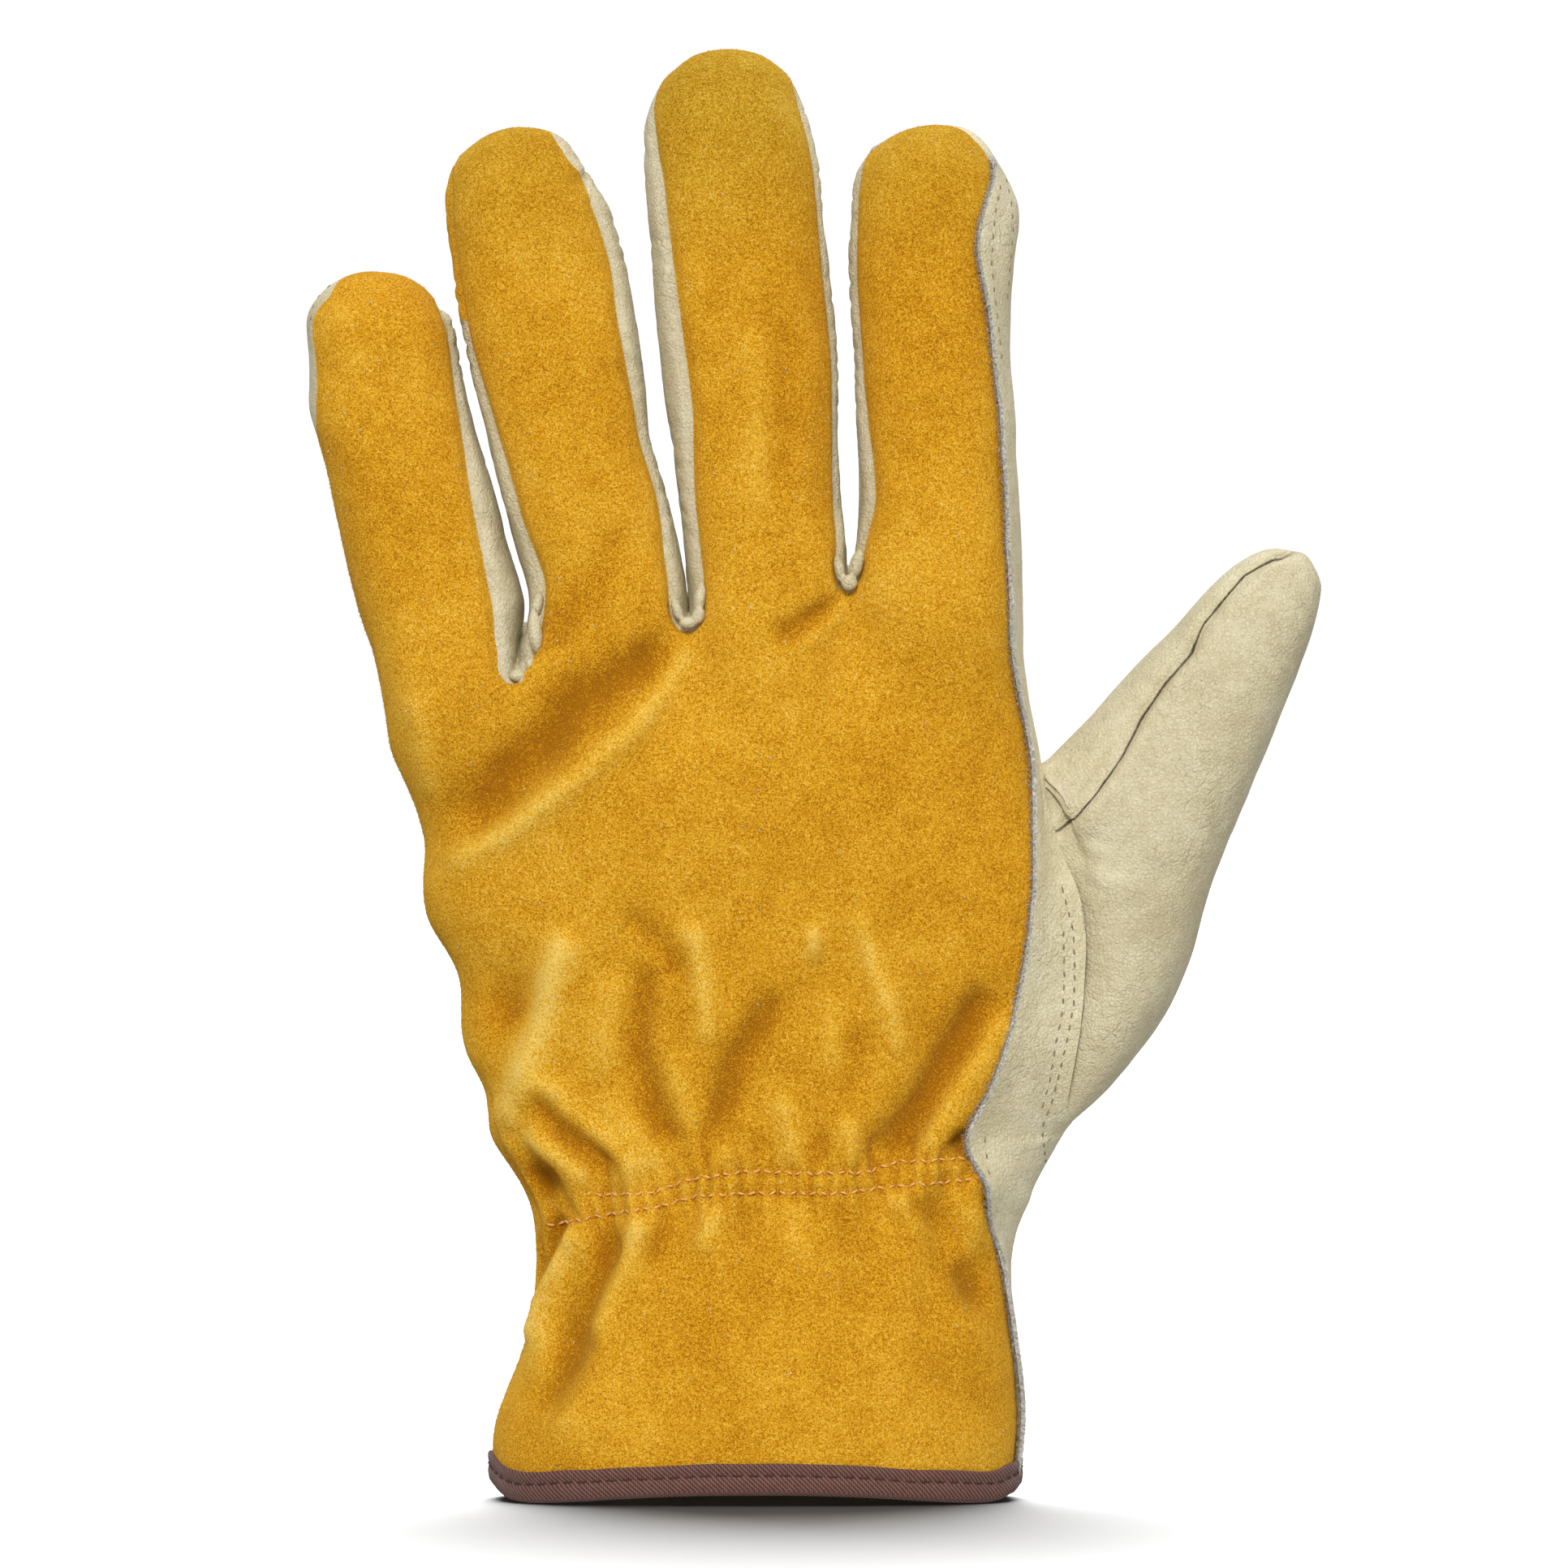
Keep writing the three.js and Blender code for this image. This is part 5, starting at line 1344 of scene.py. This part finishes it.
# Nap: short golden fibres over the whole suede, a few pale bits of lint on its front, and loose
# fibres along the raw edge of the palm leather
nap = {
    "suede_nap": {"Length": 0.48 * mm, "Width": 0.085 * mm, "TiltFrom": 0.7, "TiltTo": 1.42, "Seed": 5},
    "suede_lint": {"Length": 0.95 * mm, "Width": 0.2 * mm, "TiltFrom": 1.2, "TiltTo": 1.5, "Seed": 8,
                   "Material": "lint"},
    "raw_edge_fuzz": {"Length": 1.0 * mm, "Width": 0.1 * mm, "TiltFrom": 0.3, "TiltTo": 1.45, "Seed": 11,
                      "Material": "rawEdge"},
}
napCounts = {"suede_nap": 46000, "suede_lint": 170, "raw_edge_fuzz": 5200}
lintFacing = -0.3


def strew(name, points, quads):
    mesh = bpy.data.meshes.new(name)
    used, index = np.unique(quads.ravel(), return_inverse=True)
    mesh.from_pydata(points[used].tolist(), [], index.reshape(-1, quads.shape[1]).tolist())
    mesh.update()
    density = napCounts[name] / sum(polygon.area for polygon in mesh.polygons)
    grown(name, mesh, "fibres", {"Density": density, **nap[name]})


def strewAll():
    back, palm = leather["back_panel"], leather["palm_panel"]
    quads = back["quads"]
    strew("suede_nap", back["points"], quads[back["reach"][quads].max(1) < 0])
    strew("suede_lint", back["points"], quads[back["normals"][quads[:, 0], 1] < lintFacing])
    rim = palm["rim"]
    rim = rim[(isLap("palm_panel", palm) * (palm["seamWith"] == "back_panel"))[rim].min(1) > 0.5]
    low = palm["points"] + palm["seamOff"] * seams["skive"] * mm - palm["normals"] * palm["wall"]
    count = len(low)
    quads = np.stack([rim[:, 1], rim[:, 0], rim[:, 0] + count, rim[:, 1] + count], 1)
    strew("raw_edge_fuzz", np.concatenate([palm["points"], low]), quads)


strewAll()
print("nap made")

# Puckered bits of gusset leather at the foot of each notch: photo place, half sizes across, deep and
# tall in millimetres, lean in degrees, and how far they sit behind the suede's edge
knots = {
    "crotch_pucker_ring": [
        ((661, 779), (1.2, 1.5, 3.7), -5, 2.1), ((663, 746), (1.0, 1.3, 2.2), 14, 2.6),
        ((655, 820), (0.9, 1.2, 1.3), 10, 1.7), ((640, 833), (1.5, 1.2, 1.1), 0, 1.5),
    ],
    "crotch_pucker_middle": [
        ((863, 738), (1.0, 1.3, 2.6), 8, 2.3), ((861, 760), (1.1, 1.2, 1.5), 25, 1.8),
        ((848, 768), (1.5, 1.2, 1.0), 0, 1.5), ((835, 752), (0.9, 1.1, 2.0), -20, 2.0),
    ],
    "crotch_pucker_index": [
        ((1055, 696), (1.15, 1.4, 2.5), 14, 1.8), ((1046, 719), (1.4, 1.2, 1.4), -6, 1.4),
        ((1034, 703), (0.9, 1.1, 2.4), -12, 2.0),
    ],
}
lumpShape = {"voxel": 0.2 * mm, "smooth": 4, "rough": 0.10, "roughSize": 1.6, "from": -0.02}


def joinedLumps(name, bm):
    # overlapping lumps become one skin with soft creases between them
    rough = bpy.data.meshes.new(name + "_lumps")
    bm.to_mesh(rough)
    bm.free()
    base = addObject(name + "_lumps", rough)
    remesh = base.modifiers.new("join", "REMESH")
    remesh.mode, remesh.voxel_size = "VOXEL", lumpShape["voxel"]
    base.modifiers.new("soften", "SMOOTH").iterations = lumpShape["smooth"]
    joined = evaluatedMesh(base)
    points = np.array([vert.co for vert in joined.vertices])
    faces = [list(polygon.vertices) for polygon in joined.polygons]
    base.modifiers.clear()
    bpy.data.objects.remove(base)
    reach = {"reach": np.full(len(points), -farAway)}
    made = meshPiece(name, points, faces, [0] * len(faces), ["gusset_leather"], reach)
    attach(made, "root")
    print(name, len(faces), "faces")


def addLump(bm, middle, size, lean, seed):
    for vert in bmesh.ops.create_icosphere(bm, subdivisions=3, radius=1)["verts"]:
        rough = noise.noise(vert.co * lumpShape["roughSize"] + Vector((seed, 3, 1)))
        pucker = 1 + lumpShape["rough"] * rough
        across, deep, tall = (vert.co[j] * pucker * size[j] * mm for j in range(3))
        vert.co = middle + Vector((
            across * math.cos(lean) + tall * math.sin(lean), deep,
            tall * math.cos(lean) - across * math.sin(lean),
        ))


for knotName, lumps in knots.items():
    bm = bmesh.new()
    for seed, (spot, size, lean, behind) in enumerate(lumps):
        x, z = fromPhoto(*spot)
        near = skinTrees["back_panel"].find_nearest(Vector((x, lumpShape["from"], z)))[0]
        addLump(bm, Vector((x, near.y + behind * mm, z)), size, math.radians(lean), seed)
    joinedLumps(knotName, bm)

# The gathered end of each gusset seam, a bead of leather at the corner beside the fingertip
seamEnd = {"size": (0.85, 0.85, 0.85), "below": 1.0 * mm}
bm = bmesh.new()
for tip in tipPlaces:
    near, normal, _, _ = skinTrees["palm_panel"].find_nearest(Vector(tip))
    addLump(bm, near - normal * seamEnd["below"], seamEnd["size"], 0, near.x * 1000)
joinedLumps("fingertip_seam_ends", bm)
print("puckers made")

# Studio: a pale floor, a soft front light from the upper left, a soft light from above and behind,
# and a light for the floor alone that draws the soft shadow under the cuff. Lights by turn, height,
# strength and softness
studio = {
    "floor": 30, "floorGap": 0.1 * mm, "floorColour": (0.078, 0.078, 0.078, 1), "white": (1, 1, 1, 1),
    "sky": (-0.3, 0.8, 0.47, 0.60), "seenSky": 1.05, "lens": 300, "sensor": 36, "clip": (0.1, 100),
    "lights": {
        "front_light": (-6, 33, 2.15, 18), "side_light": (50, -8, 0.9, 40), "above_light": (168, 58, 1.3, 28),
        "floor_light": (180, 53, 39.0, 56),
    },
}


def addSun(name, turn, up, strength, soft):
    data = bpy.data.lights.new(name, "SUN")
    data.energy, data.angle = strength, math.radians(soft)
    lamp = addObject(name, data)
    a, e = math.radians(turn), math.radians(up)
    toLamp = Vector((math.sin(a) * math.cos(e), -math.cos(a) * math.cos(e), math.sin(e)))
    lamp.rotation_euler = toLamp.to_track_quat("Z", "Y").to_euler()
    lamp.location = toLamp
    return lamp


def addFloor():
    mesh = bpy.data.meshes.new("studio_floor")
    half, low = studio["floor"], cadBox[0].z - studio["floorGap"]
    corners = [(-half, -half, low), (half, -half, low), (half, half, low), (-half, half, low)]
    mesh.from_pydata(corners, [], [(0, 1, 2, 3)])
    floor = addObject("studio_floor", mesh)
    mesh.materials.append(newMaterial("pale_floor", {
        "Base Color": studio["floorColour"], "Roughness": 0.8, "Specular IOR Level": 0.1,
    })[0])
    floor.visible_diffuse = False  # the sky alone fills the leather's shaded side
    floor.visible_glossy = False
    return floor


def addSky():
    # the glove is lit by a soft sky; the camera sees plain white
    world = bpy.data.worlds.new("studio")
    world.use_nodes = True
    tree = world.node_tree
    soft = tree.nodes["Background"]
    soft.inputs["Color"].default_value = studio["white"]
    place = addNode(tree, "ShaderNodeTexCoord")["Generated"]
    strength = rangeNode(tree, addNode(tree, "ShaderNodeSeparateXYZ", {0: place})["Z"], *studio["sky"])
    tree.links.new(strength, soft.inputs["Strength"])
    seen = addNode(tree, "ShaderNodeBackground", {"Color": studio["white"], "Strength": studio["seenSky"]})[0]
    share = addNode(tree, "ShaderNodeLightPath")["Is Camera Ray"]
    either = addNode(tree, "ShaderNodeMixShader", {"Fac": share, 1: soft.outputs[0], 2: seen})[0]
    tree.links.new(either, tree.nodes["World Output"].inputs["Surface"])
    bpy.context.scene.world = world


def addCamera():
    data = bpy.data.cameras.new("camera")
    data.lens, data.sensor_width = studio["lens"], studio["sensor"]
    data.clip_start, data.clip_end = studio["clip"]
    camera = addObject("camera", data)
    middleX, middleZ = fromPhoto(photo["size"] / 2, photo["size"] / 2)
    seen = photo["size"] / photo["pixelsPerMm"] * mm
    camera.location = (middleX, -seen * studio["lens"] / studio["sensor"], middleZ)
    camera.rotation_euler = (math.radians(90), 0, 0)
    bpy.context.scene.camera = camera


studioFloor = addFloor()
addSky()
lamps = {name: addSun(name, *values) for name, values in studio["lights"].items()}
litFloor = bpy.data.collections.new("lit_floor")
litFloor.objects.link(studioFloor)
lamps["floor_light"].light_linking.receiver_collection = litFloor
addCamera()
bpy.context.scene.view_settings.view_transform = "Standard"
bpy.context.scene.view_settings.look = "None"
print("studio ready")
